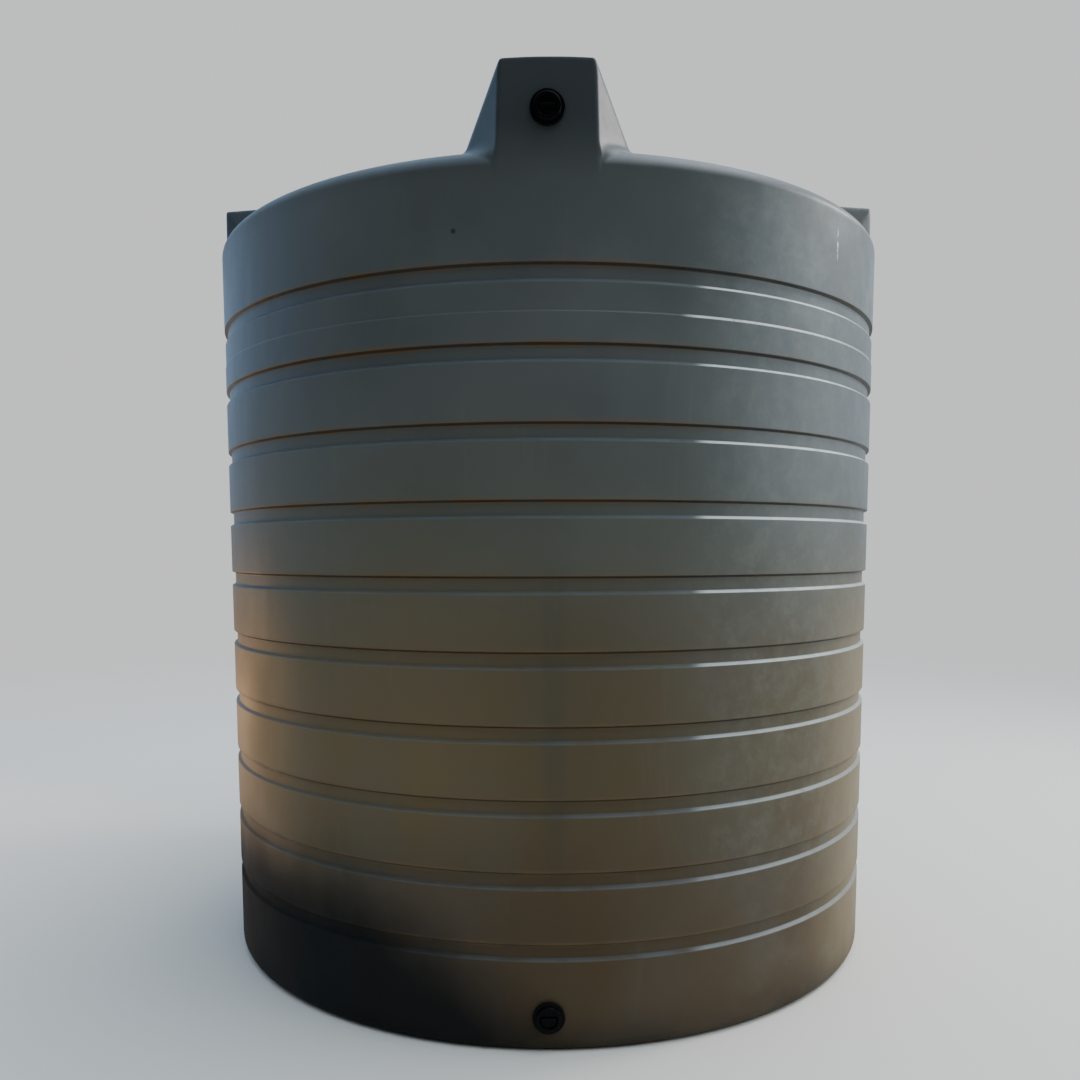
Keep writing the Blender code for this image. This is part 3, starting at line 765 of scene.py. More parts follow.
def turned_distance(r, z):
    """Distance to the wall, shoulder and dome, with the normal as (nr, nz).

    The shoulder's distance is (size - 1) size over the ellipse's pull, where size is 1 on the ellipse.
    The slanted line through the join parts the shoulder from the dome.
    """
    u = r - SHOULDER_CENTRE
    v = z - WALL_TOP
    size = np.sqrt((u / SHOULDER_REACH) ** 2 + (v / SHOULDER_RISE) ** 2)
    pull_r = u / SHOULDER_REACH ** 2
    pull_z = v / SHOULDER_RISE ** 2
    pull = np.maximum(np.hypot(pull_r, pull_z), 1e-9)
    shoulder = (size - 1) * size / pull
    from_centre = np.hypot(r, z - DOME_CENTRE)
    on_shoulder = (r - JOIN_R) - DOME_EDGE_SLOPE * (z - JOIN_Z) > 0
    on_wall = z < WALL_TOP
    distance = np.where(on_wall, r - TANK_RADIUS, np.where(on_shoulder, shoulder, from_centre - DOME_RADIUS))
    normal_r = np.where(on_wall, 1.0, np.where(on_shoulder, pull_r / pull, r / from_centre))
    normal_z = np.where(on_wall, 0.0, np.where(on_shoulder, pull_z / pull, (z - DOME_CENTRE) / from_centre))
    return distance, normal_r, normal_z


def tank_distance(point, wall, boss_wall):
    """Distance to the tank with its four bosses, set in by a wall thickness.

    A point is turned into the quarter of its nearest boss. The smaller of the two distances is lowered
    by reach times near squared over 4, where near falls from 1 to 0 as the distances part by reach.
    """
    x, y, z = point[..., 0], point[..., 1], point[..., 2]
    r = np.hypot(x, y)
    turned, normal_r, normal_z = turned_distance(r, z)
    quarter = np.round(np.arctan2(x, -y) / (np.pi / 2))
    turn = quarter * np.pi / 2
    side = np.cos(turn) * x + np.sin(turn) * y
    depth = -np.sin(turn) * x + np.cos(turn) * y
    top = np.where(quarter == 0, INLET_BOSS_TOP, PLAIN_BOSS_TOP)
    boss, boss_normal = boss_distance(np.stack([side, depth, z - top], axis=-1), boss_wall)
    level = boss_normal[..., 0] * np.abs(side) + boss_normal[..., 1] * depth
    agree = normal_r * level / np.maximum(r, 1e-9) + normal_z * boss_normal[..., 2]
    behind_front = smoothstep((depth + BOSS_FRONT) / FILLET_LOSS_DEPTH)
    meeting = smoothstep((FILLET_AGREE - agree) / FILLET_AGREE_SPAN)
    reach = FILLET_REACH * (1 - FILLET_LOSS * behind_front) * meeting + 1e-6
    turned = turned + wall
    near = np.maximum(1 - np.abs(turned - boss) / reach, 0.0)
    return np.minimum(turned, boss) - reach * near ** 2 / 4


front_middle = np.array([[0.0, -BOSS_FRONT, INLET_HEIGHT], [0.3, -TANK_RADIUS, 2.2]])
print("distance at the seat and beside the wall:", tank_distance(front_middle, 0.0, 0.0))

# %% [markdown]
# ## Casting rays at the top
#
# From a point inside the tank every part of the shoulder, dome and bosses is seen straight, so each
# ray leaves the body once. Halving the interval 34 times finds the crossing far finer than a
# micrometre. Rays are packed closely where a boss has its edges and thinly between. The lists give
# degrees, each with the number of steps that lead to it: round the tank from a boss's middle, and up
# from the level of the core.

# %% Ray casting
CORE = np.array([0.0, 0.0, 1.3])
SHORTEST_RAY = 0.5
LONGEST_RAY = 2.5
HALVINGS = 34


def cast(angles, rises, wall, boss_wall):
    """Points where rays from the core leave the tank, one row per rise and one column per angle."""
    turn = angles[None, :]
    rise = rises[:, None]
    level = np.cos(rise)
    along = np.stack([level * np.sin(turn), -level * np.cos(turn), np.sin(rise) + 0 * turn], axis=-1)
    near = np.full(along.shape[:2], SHORTEST_RAY)
    far = np.full(along.shape[:2], LONGEST_RAY)
    for _ in range(HALVINGS):
        middle = (near + far) / 2
        outside = tank_distance(CORE + middle[..., None] * along, wall, boss_wall) > 0
        far = np.where(outside, middle, far)
        near = np.where(outside, near, middle)
    return CORE + near[..., None] * along


def round_columns(front_half, plain_half):
    """Angles round the tank from two half lists of degrees, mirrored about each boss's middle."""
    parts = []
    for i in range(4):
        half = plain_half if i else front_half
        both = np.concatenate([-half[::-1], half[1:]])
        parts.append(both[:-1] + 90.0 * i)
    return np.radians(np.concatenate(parts))


WINDOW = 3.6
LOWEST_RISE = 38.27
HIGHEST_RISE = 60.0
outer_columns = round_columns(
    runs(0.0, (WINDOW, 6), (5.4, 3), (7.8, 16), (13.8, 25), (18.0, 6), (45.0, 9)),
    runs(0.0, (5.4, 4), (7.8, 8), (13.8, 15), (18.0, 4), (45.0, 9)))
inner_columns = round_columns(
    runs(0.0, (WINDOW, 6), (15.0, 16), (45.0, 10)),
    runs(0.0, (15.0, 14), (45.0, 10)))
outer_rises = np.radians(runs(LOWEST_RISE, (41.0, 10), (42.5, 6), (45.2, 18), (47.7, 10), (48.9, 12),
                              (53.6, 13), (55.8, 11), (HIGHEST_RISE, 4)))
inner_rises = np.radians(runs(LOWEST_RISE, (42.5, 6), (45.2, 9), (47.7, 8), (48.9, 4), (53.6, 9), (55.8, 5),
                              (HIGHEST_RISE, 2)))
outer_top = cast(outer_columns, outer_rises, 0.0, 0.0)
inner_top = cast(inner_columns, inner_rises, WALL, BOSS_WALL)
print("outer top", outer_top.shape[:2], "highest", outer_top[..., 2].max().round(4),
      "inner top", inner_top.shape[:2])

# %% [markdown]
# ## The grooved wall
#
# Below the shoulder the tank is a plain turned form. A groove's upper flank is short and steep, its
# lower flank longer, and both follow a smoothstep, which has no corner where it meets the wall. Rows
# of points sit close together on the flanks and far apart on the plain bands. Between the two highest
# grooves the halves of the mould met, and the wall steps out by two millimetres below that line.

# %% Wall profile
FLANK_STEPS = np.array([0.0, 0.15, 0.35, 0.5, 0.65, 0.85, 1.0])
SUPPORT = 0.004
UPPER_FLANK_ABOVE = 0.00075
UPPER_FLANK_DROP = 0.0065
LOWER_FLANK_ABOVE = 0.0070
LOWER_FLANK_DROP = 0.0085
LIP_BELOW = 0.0015


def outer_wall():
    """Rows of (r, z) from under the shoulder down to the round of the floor."""
    rows = []
    floor_r = TANK_RADIUS - GROOVE_DEPTH
    for i in reversed(range(GROOVE_COUNT)):
        foot = LOWEST_GROOVE_FOOT + i * GROOVE_PITCH
        top = foot + GROOVE_WIDTH
        lip = TANK_RADIUS - PARTING_STEP if i == GROOVE_COUNT - 1 else TANK_RADIUS
        rows.append((TANK_RADIUS, top + UPPER_FLANK_ABOVE + SUPPORT))
        rows += [(TANK_RADIUS - GROOVE_DEPTH * smoothstep(t), top + UPPER_FLANK_ABOVE - UPPER_FLANK_DROP * t)
                 for t in FLANK_STEPS]
        rows += [(floor_r, top - 0.010), (floor_r, foot + 0.0105)]
        rows += [(floor_r + (lip - floor_r) * smoothstep(t), foot + LOWER_FLANK_ABOVE - LOWER_FLANK_DROP * t)
                 for t in FLANK_STEPS]
        rows.append((lip, foot - LIP_BELOW - SUPPORT))
        if i == GROOVE_COUNT - 1:
            steps = [(lip, 0.005), (lip, 0.0012), (TANK_RADIUS - 0.0002, -0.0004), (TANK_RADIUS, -0.0016),
                     (TANK_RADIUS, -0.006)]
            rows += [(r, PARTING_HEIGHT + dz) for r, dz in steps]
    return np.array(rows)


def inner_wall():
    """The same rows set in by the wall thickness, with four points a groove."""
    rows = []
    floor_r = TANK_RADIUS - GROOVE_DEPTH
    for i in reversed(range(GROOVE_COUNT)):
        foot = LOWEST_GROOVE_FOOT + i * GROOVE_PITCH
        top = foot + GROOVE_WIDTH
        rows += [(TANK_RADIUS - WALL, top + 0.0058), (floor_r - WALL, top + 0.0008),
                 (floor_r - WALL, foot + 0.0060), (TANK_RADIUS - WALL, foot - 0.0040)]
    return np.array(rows)


WINDOW_STEPS = 12
OUTLET_WINDOW = 0.066
wall_columns = np.radians(runs(-WINDOW, (WINDOW, WINDOW_STEPS), (360.0 - WINDOW, 140))[:-1])
window_heights = np.linspace(OUTLET_HEIGHT + OUTLET_WINDOW, OUTLET_HEIGHT - OUTLET_WINDOW, WINDOW_STEPS + 1)
print("wall rows", len(outer_wall()), "columns", len(wall_columns))

# %% [markdown]
# ## Ports
#
# A port is a hole in a window of the grid. The window's cells are left out, and rings lead from the
# window's edge to the round seat, over a small chamfer into the bore, past the ring-shaped recess that
# holds the insert, and out again over the thickened collar inside, to the window of the inner wall.
# The low port sits on the round wall, so its first ring stays on the wall and the next one is flat.
# The profile's pairs are the radius and the height over the seat, which is negative in the wall.

# %% Port rings
SEAT_RADIUS = 0.0378
COLLAR_RADIUS = 0.058
PORT_PROFILE = np.array([
    (0.0390, 0.0), (SEAT_RADIUS, -0.0012), (SEAT_RADIUS, -0.0097), (0.0473, -0.0097), (0.0473, -0.0153),
    (SEAT_RADIUS, -0.0153), (SEAT_RADIUS, -0.0230), (0.0388, -0.0240), (0.0540, -0.0240),
    (0.0568, -0.0228), (COLLAR_RADIUS, -0.0200), (COLLAR_RADIUS, -0.0130),
])


def window_ring(numbers, rows, columns):
    """The edge of a window of a grid, in order, as its point numbers."""
    top, bottom = rows
    left, right = columns
    return np.concatenate([
        numbers[top, left:right], numbers[top:bottom, right], numbers[bottom, left + 1:right + 1][::-1],
        numbers[top + 1:bottom + 1, left][::-1]])


def window_cells(shape, rows, columns):
    """A mask of grid cells that is False inside a window."""
    keep = np.ones((shape[0] - 1, shape[1]), dtype=bool)
    keep[rows[0]:rows[1], columns[0]:columns[1]] = False
    return keep


def port_rings(body, outer_ring, inner_ring, height, face, on_wall):
    """Lead from a window of the outer surface through a port to a window of the inner surface."""
    points = np.concatenate(body.points)
    outer_angles = np.arctan2(points[outer_ring, 2] - height, points[outer_ring, 0])
    inner_angles = np.arctan2(points[inner_ring, 2] - height, points[inner_ring, 0])
    order = np.argsort(outer_angles)
    outer_ring, turn = outer_ring[order], outer_angles[order]
    seat = [(0.0600, 0.0), (0.0510, 0.0)] if on_wall else [(0.0510, 0.0)]
    profile = np.concatenate([np.array(seat), PORT_PROFILE])
    radius, depth = profile[:, :1], profile[:, 1:]
    x = radius * np.cos(turn)
    y = -(face + depth) + 0 * x
    if on_wall:
        y[0] = -np.sqrt(TANK_RADIUS ** 2 - x[0] ** 2)
    numbers = body.add(np.stack([x, y, height + radius * np.sin(turn)], axis=-1))
    body.join(outer_ring, numbers[0])
    body.grid(numbers)
    body.stitch(numbers[-1], turn, inner_ring, inner_angles)


print("a port has", len(PORT_PROFILE), "rings and is", -PORT_PROFILE[:, 1].min(), "m deep")

# %% [markdown]
# ## The whole shell
#
# The shell is one closed surface, made in three steps. The shoulder with its bosses comes first. The
# wall and floor hang from its lowest row, outside and inside. The dome, the neck with its coarse thread
# and the rim lead from its highest row outside to its highest row inside.

# %% Sizes of the shell
INLET_WINDOW = 0.068
DOME_RADII = (0.62, 0.52, 0.42, 0.33, 0.27, 0.243)
DOME_RADII_INSIDE = (0.224, 0.27, 0.36, 0.48, 0.60)
NECK_PITCH = 0.012
NECK_THREAD = 0.0014
NECK_CREST = 0.25
THREAD_FADE = 0.003
RIM_ROUND = 0.002
NECK_COLUMNS = ring_angles(120)


def nearest(values, value):
    """The index of the value closest to another."""
    return int(np.argmin(np.abs(np.asarray(values) - value)))


def dome_height(radius, set_in=0.0):
    """Height of the dome over a radius."""
    return DOME_CENTRE + np.sqrt((DOME_RADIUS - set_in) ** 2 - np.asarray(radius) ** 2)


print("the dome's middle would lie at", round(float(dome_height(0.0)), 3), "m")

# %% [markdown]
# ### The shoulder, the bosses and the inlet
#
# The two ray-cast grids lie one inside the other. Both leave out the cells round the inlet, and the
# inlet's rings join the two windows.

# %% Shoulder and inlet


def shoulder(body):
    """The top's grids outside and inside, with the inlet between them. Returns both grids' numbers."""
    outer = body.add(outer_top)
    inner = body.add(inner_top)
    low_rise = math.atan((INLET_HEIGHT - INLET_WINDOW - CORE[2]) / BOSS_FRONT)
    high_rise = math.atan((INLET_HEIGHT + INLET_WINDOW - CORE[2]) / BOSS_FRONT)
    rings = []
    for numbers, rises, columns in ((outer, outer_rises, outer_columns), (inner, inner_rises, inner_columns)):
        rows = nearest(rises, low_rise), nearest(rises, high_rise)
        sides = nearest(columns, -math.radians(WINDOW)), nearest(columns, math.radians(WINDOW))
        body.grid(numbers, window_cells(numbers.shape, rows, sides))
        rings.append(window_ring(numbers, rows, sides))
    port_rings(body, rings[0], rings[1], INLET_HEIGHT, BOSS_FRONT, False)
    return outer, inner


# %% [markdown]
# ### The wall, the floor and the outlet
#
# Both walls are turned grids on the same columns, from under the shoulder down round the floor's edge.
# Evenly spaced rows at the outlet's height give its window cells that are nearly square.

# %% Wall, floor and outlet


def wall_and_floor(body):
    """The turned grids outside and inside, with the outlet between them. Returns their highest rings."""
    outer_rows = np.concatenate([
        outer_wall(), [(TANK_RADIUS, 0.215)],
        np.stack([0 * window_heights + TANK_RADIUS, window_heights], axis=-1),
        arc(TANK_RADIUS - FLOOR_ROUND, FLOOR_ROUND, FLOOR_ROUND, -8.0, -90.0, 7), [(0.95, 0.0), (0.45, 0.0)]])
    inner_rows = np.concatenate([
        inner_wall(), np.stack([0 * window_heights + TANK_RADIUS - WALL, window_heights], axis=-1),
        arc(TANK_RADIUS - FLOOR_ROUND, FLOOR_ROUND, FLOOR_ROUND - WALL, -8.0, -90.0, 4),
        [(0.95, WALL), (0.45, WALL)]])
    rings = []
    highest = []
    for rows in (outer_rows, inner_rows):
        numbers = body.add(turned_grid(rows[:, :1], rows[:, 1:], wall_columns))
        first = nearest(rows[:, 1], window_heights[0])
        window = (first, first + WINDOW_STEPS)
        body.grid(numbers, window_cells(numbers.shape, window, (0, WINDOW_STEPS)))
        rings.append(window_ring(numbers, window, (0, WINDOW_STEPS)))
        body.cap(numbers[-1], (0.0, 0.0, rows[-1, 1]))
        highest.append(numbers[0])
    port_rings(body, rings[0], rings[1], OUTLET_HEIGHT, TANK_RADIUS, True)
    return highest


# %% [markdown]
# ### The dome, the neck and the rim
#
# One profile runs from the dome up the neck, over the rim, down the mouth and back under the dome. The
# neck's thread is the thread wave on its radius, and it fades out at both ends.

# %% Dome, neck and rim


def dome_and_neck(body):
    """The dome, threaded neck, rim and the dome's inside as one turned grid. Returns its numbers."""
    rows = [(r, float(dome_height(r))) for r in DOME_RADII]
    rows += arc(NECK_RADIUS + NECK_ROUND, NECK_FOOT + NECK_ROUND, NECK_ROUND, 266.0, 180.0, 7).tolist()
    thread_low = NECK_FOOT + NECK_ROUND + 0.004
    thread_high = NECK_TOP - 0.006
    rows += [(NECK_RADIUS, z) for z in np.linspace(thread_low, thread_high, 24)]
    rows += arc(NECK_RADIUS - RIM_ROUND, NECK_TOP - RIM_ROUND, RIM_ROUND, 0.0, 90.0, 3).tolist()
    mouth_r = NECK_RADIUS - WALL
    rows += arc(mouth_r + RIM_ROUND, NECK_TOP - RIM_ROUND, RIM_ROUND, 90.0, 180.0, 3).tolist()
    mouth_foot = float(dome_height(mouth_r + 0.003, WALL))
    rows += [(mouth_r, mouth_foot + 0.006), (mouth_r, mouth_foot + 0.002),
             (mouth_r + 0.0009, mouth_foot + 0.0006), (mouth_r + 0.003, mouth_foot)]
    rows += [(r, float(dome_height(r, WALL))) for r in DOME_RADII_INSIDE]
    rows = np.array(rows)
    radius = rows[:, :1] + 0 * NECK_COLUMNS
    height = rows[:, 1:]
    threaded = np.abs(radius - NECK_RADIUS) < 1e-9
    threaded &= (height > thread_low - 1e-9) & (height < thread_high + 1e-9)
    fade = smoothstep((height - thread_low) / THREAD_FADE) * smoothstep((thread_high - height) / THREAD_FADE)
    wave = thread_wave(height - thread_low, NECK_COLUMNS, NECK_PITCH, NECK_CREST)
    radius = radius + np.where(threaded, NECK_THREAD * smoothstep(wave * 1.6 - 0.6) * fade, 0.0)
    numbers = body.add(turned_grid(radius, height, NECK_COLUMNS))
    body.grid(numbers)
    return numbers


# %% [markdown]
# ### Closing the shell
#
# The three steps have different numbers of columns, because bosses need many and the plain dome few.
# Stitching joins them by triangles, under the shoulder and over it, outside and inside.

# %% Tank shell
shell = Body()
outer, inner = shoulder(shell)
outer_highest, inner_highest = wall_and_floor(shell)
shell.stitch(outer[0], outer_columns, outer_highest, wall_columns)
shell.stitch(inner[0], inner_columns, inner_highest, wall_columns)
neck = dome_and_neck(shell)
shell.stitch(outer[-1], outer_columns, neck[0], NECK_COLUMNS)
shell.stitch(inner[-1], inner_columns, neck[-1], NECK_COLUMNS)
finish_piece(shell, "tank_shell_fine", TANK, "tank_shell", "tank")

# %% [markdown]
# ## Pieces turned about a port
#
# The plugs, washers and inserts are turned about the port's own axis. Their profiles are given as
# radius and distance out of the tank, and a small function lays the axis along -Y at the port. A
# 2 inch pipe thread has eleven turns an inch, a pitch of 2.309 mm.

# %% Sizes of the port pieces
PLUG_PITCH = 0.002309
PLUG_CREST = 0.12
CAP_COLUMNS = ring_angles(96)
WASHER_BORE = 0.0300
WASHER_RIM = 0.0420
WASHER_ROUND = 0.0010
INSERT_BORE = 0.0300
INSERT_THREAD = 0.0011
INSERT_CHAMFER = 0.0316
SHANK_ROOT = 0.0281
SHANK_THREAD = 0.0014


def laid(radius, out, angles, height, face):
    """Points of a surface turned about a port's axis: (r sin a, -(face + out), height + r cos a)."""
    radius, out, angles = np.broadcast_arrays(radius, out, angles)
    return np.stack([radius * np.sin(angles), -(face + out), height + radius * np.cos(angles)], axis=-1)


print("turns of thread an inch:", round(0.0254 / PLUG_PITCH, 2))

# %% [markdown]
# ### Washers
#
# A flat rubber ring lies between a plug's flange and its seat. Turning the plug in presses it tight.
# Only its rim shows, so that is where its two corners are rounded.

# %% Washers


def washer_body(height, face):
    """A flat rubber ring with a soft outer edge."""
    body = Body()
    low, high = 0.0003, 0.0033
    profile = np.concatenate([
        [(WASHER_BORE, low + 0.0004), (WASHER_BORE, high - 0.0004), (0.0304, high)],
        arc(WASHER_RIM, high - WASHER_ROUND, WASHER_ROUND, 90.0, 0.0, 3),
        arc(WASHER_RIM, low + WASHER_ROUND, WASHER_ROUND, 0.0, -90.0, 3), [(0.0304, low)]])
    numbers = body.add(laid(profile[:, :1], profile[:, 1:], CAP_COLUMNS, height, face))
    body.grid(numbers)
    body.join(numbers[-1], numbers[0])
    return body


# %% [markdown]
# ### Threaded inserts
#
# A brass insert is laid in the mould, and the ring round it stops it from being pulled out of the
# plastic. Cutting the thread with a boolean would leave thin slivers. Here it is a wave on the
# radius of a fine grid, which keeps every face a clean quad.

# %% Threaded inserts


def ferrule_body(height, face):
    """A threaded brass insert: a tube with an anchor ring outside and a pipe thread inside."""
    body = Body()
    columns = ring_angles(60)
    outside = np.array([
        (0.0370, 0.0), (0.0375, -0.0005), (0.0375, -0.0100), (0.0466, -0.0100), (0.0470, -0.0104),
        (0.0470, -0.0146), (0.0466, -0.0150), (0.0375, -0.0150), (0.0375, -0.0315), (0.0370, -0.0320)])
    depth = np.linspace(-0.0312, -0.0010, 80)
    wave = thread_wave(column(depth), columns, PLUG_PITCH, PLUG_CREST)
    radius = INSERT_BORE + INSERT_THREAD * (1 - wave)
    mouth = np.array([(INSERT_CHAMFER, -0.0320), (INSERT_CHAMFER, 0.0)])
    numbers = body.add(laid(outside[:, :1], outside[:, 1:], columns, height, face))
    bottom = body.add(laid(mouth[0, 0], mouth[0, 1], columns, height, face))
    thread = body.add(laid(radius, column(depth), columns, height, face))
    top = body.add(laid(mouth[1, 0], mouth[1, 1], columns, height, face))
    body.grid(numbers)
    body.join(numbers[-1], bottom)
    body.join(bottom, thread[0])
    body.grid(thread)
    body.join(thread[-1], top)
    body.join(top, numbers[0])
    return body


# %% [markdown]
# ### Screw plugs
#
# The photo shows a plug as a black disc. Real ones have a head with a bar across a recess, by which
# they are turned, a flange, and a hollow threaded shank. All of that is turned about one axis apart
# from the bar, which is a height over the recess's floor.

# %% Screw plugs


def plug_body(height, face):
    """A screw plug: a round head on a flange, a recess with a grip bar, and a hollow threaded shank."""
    body = Body()
    seat = 0.0036
    flange = seat + 0.007
    top = flange + 0.009
    recess = top - 0.007
    bar_top = top - 0.001
    columns = CAP_COLUMNS
    head = np.concatenate([
        [(0.0235, recess), (0.0243, recess + 0.0008), (0.0253, top - 0.0010)],
        arc(0.0263, top - 0.0010, 0.0010, 180.0, 90.0, 3)[1:],
        arc(0.0315, top - 0.0040, 0.0040, 90.0, 0.0, 7),
        arc(0.0365, flange + 0.0010, 0.0010, 180.0, 270.0, 3),
        arc(0.0425, flange - 0.0020, 0.0020, 90.0, 0.0, 5),
        [(0.0445, seat + 0.0008), (0.0437, seat), (0.0295, seat)]])
    outside = body.add(laid(head[:, :1], head[:, 1:], columns, height, face))
    body.grid(outside)
    depth = np.linspace(seat - 0.0008, -0.0169, 56)
    wave = thread_wave(column(depth), columns, PLUG_PITCH, PLUG_CREST)
    taper = smoothstep((column(depth) + 0.0177) / 0.0025)
    radius = SHANK_ROOT + SHANK_THREAD * wave * taper
    thread = body.add(laid(radius, column(depth), columns, height, face))
    body.join(outside[-1], thread[0])
    body.grid(thread)
    cup = np.array([(0.0276, -0.0177), (0.0259, -0.0177), (0.0255, -0.0172), (0.0255, 0.0026),
                    (0.0245, 0.0036)])
    inside = body.add(laid(cup[:, :1], cup[:, 1:], columns, height, face))
    body.join(thread[-1], inside[0])
    body.grid(inside)
    body.cap(inside[-1], (0.0, -(face + 0.0036), height))

    # The recess's floor carries a bar: a height over the disc that rises steeply at the bar's sides
    radii = column(np.linspace(0.0235, 0.0, 20)[1:-1])
    across = radii * np.cos(columns)
    beside = smoothstep((0.0064 - np.abs(across)) / 0.0009)
    ends = smoothstep((0.0235 - radii) / 0.0020)
    floor = recess + (bar_top - recess) * beside * ends
    disc = body.add(laid(radii, floor, columns, height, face))
    body.join(outside[0], disc[0])
    body.grid(disc)
    body.cap(disc[-1], (0.0, -(face + bar_top), height))
    return body


# %% [markdown]
# ### Both ports
#
# The two ports hold the same three pieces. Only the height and the face that they seat on differ.

# %% All six port pieces
for port, height, face in (("inlet", INLET_HEIGHT, BOSS_FRONT), ("outlet", OUTLET_HEIGHT, TANK_RADIUS)):
    finish_piece(ferrule_body(height, face), f"{port}_ferrule_fine", BRASS, f"{port}_ferrule",
                 "tank")
    finish_piece(washer_body(height, face), f"{port}_washer_fine", RUBBER, f"{port}_washer",
                 f"{port}_washer")
    finish_piece(plug_body(height, face), f"{port}_plug_fine", BLACK, f"{port}_plug",
                 f"{port}_plug")

# %% [markdown]
# ## The lid
#
# The lid is hidden in the photo. It is a screw lid as such tanks have: a low cone with a slotted
# breather turret in the middle, and sixteen grips on its skirt. The columns of its grids are packed
# where grips and slots have their edges. It is made in three steps, and each starts from a ring where
# the one before it ended.

# %% Sizes of the lid
LID_UNDER = NECK_TOP + 0.0046
LID_PLATE = LID_UNDER + 0.006
LID_CROWN = LID_PLATE + 0.014
TURRET_TOP = LID_CROWN + 0.020
SKIRT_FOOT = LID_UNDER - 0.045
GRIPS = 16
SLOTS = 8
SLOT_CELLS = 4
SLOT_HALF_WIDTH = 0.006
TURRET_RADIUS = 0.040
TURRET_BORE = 0.035
LID_BORE = 0.2285
GRIP_PROUD = 0.0042


def grip_columns():
    """Angles round the lid with columns packed at each grip's flanks."""
    one = np.array([-2.5, -2.15, -1.8, -1.45, -0.8, 0.0, 0.8, 1.45, 1.8, 2.15, 2.5,
                    5.0, 8.0, 11.25, 14.5, 17.5])
    return np.radians(np.concatenate([one + 360.0 / GRIPS * i for i in range(GRIPS)]))


def slot_columns(radius):
    """Angles round the turret, four cells in each parallel-sided slot and four between slots."""
    half = math.degrees(math.asin(SLOT_HALF_WIDTH / radius))
    turn = 360.0 / SLOTS
    one = runs(-half, (half, SLOT_CELLS), (turn - half, SLOT_CELLS))[:-1]
    return np.radians(np.concatenate([one + turn * i for i in range(SLOTS)]))


LID_COLUMNS = grip_columns()
OUTER_COLUMNS = slot_columns(TURRET_RADIUS)
INNER_COLUMNS = slot_columns(TURRET_BORE)
print("columns round the lid:", len(LID_COLUMNS), "and round its turret:", len(OUTER_COLUMNS))

# %% [markdown]
# ### The breather turret
#
# Air passes through the turret's slots while the tank is filled or emptied. The slots are open cells in
# the grids of its outer and inner wall, and side walls join the two round each slot. Cutting them out
# of a solid turret would need a boolean for each one.

# %% Breather turret


def turret(body):
    """Two walls with slots, closed above by a roof and a ceiling. Returns the walls' lowest rings."""
    slot_rows = np.array([LID_CROWN + 0.0145, LID_CROWN + 0.012, LID_CROWN + 0.004, LID_CROWN + 0.0015])
    wall_outer = body.add(turned_grid(TURRET_RADIUS, column(slot_rows), OUTER_COLUMNS))
    wall_inner = body.add(turned_grid(TURRET_BORE, column(slot_rows), INNER_COLUMNS))
    hole = np.zeros((3, len(OUTER_COLUMNS)), dtype=bool)
    hole[1] = np.arange(len(OUTER_COLUMNS)) % (2 * SLOT_CELLS) < SLOT_CELLS
    body.grid(wall_outer, ~hole)
    body.grid(wall_inner, ~hole)
    body.bridge(wall_outer, wall_inner, hole)
    roof = np.concatenate([arc(0.0350, TURRET_TOP - 0.005, 0.005, 0.0, 90.0, 5), [(0.018, TURRET_TOP)]])
    numbers = body.add(turned_grid(roof[:, :1], roof[:, 1:], OUTER_COLUMNS))
    body.join(wall_outer[0], numbers[0])
    body.grid(numbers)
    body.cap(numbers[-1], (0.0, 0.0, TURRET_TOP))
    ceiling = np.concatenate([
        arc(0.0325, TURRET_TOP - 0.0075, 0.0025, 0.0, 90.0, 3), [(0.016, TURRET_TOP - 0.005)]])
    numbers = body.add(turned_grid(ceiling[:, :1], ceiling[:, 1:], INNER_COLUMNS))
    body.join(wall_inner[0], numbers[0])
    body.grid(numbers)
    body.cap(numbers[-1], (0.0, 0.0, TURRET_TOP - 0.005))
    return wall_outer[-1], wall_inner[-1]


# %% [markdown]
# ### The crown and the skirt
#
# A low cone runs out to a flat land, and the land's rounded edge leads down the skirt. The grips are a
# smooth wave on the skirt's radius that fades out towards the skirt's two ends.

# %% Crown and skirt


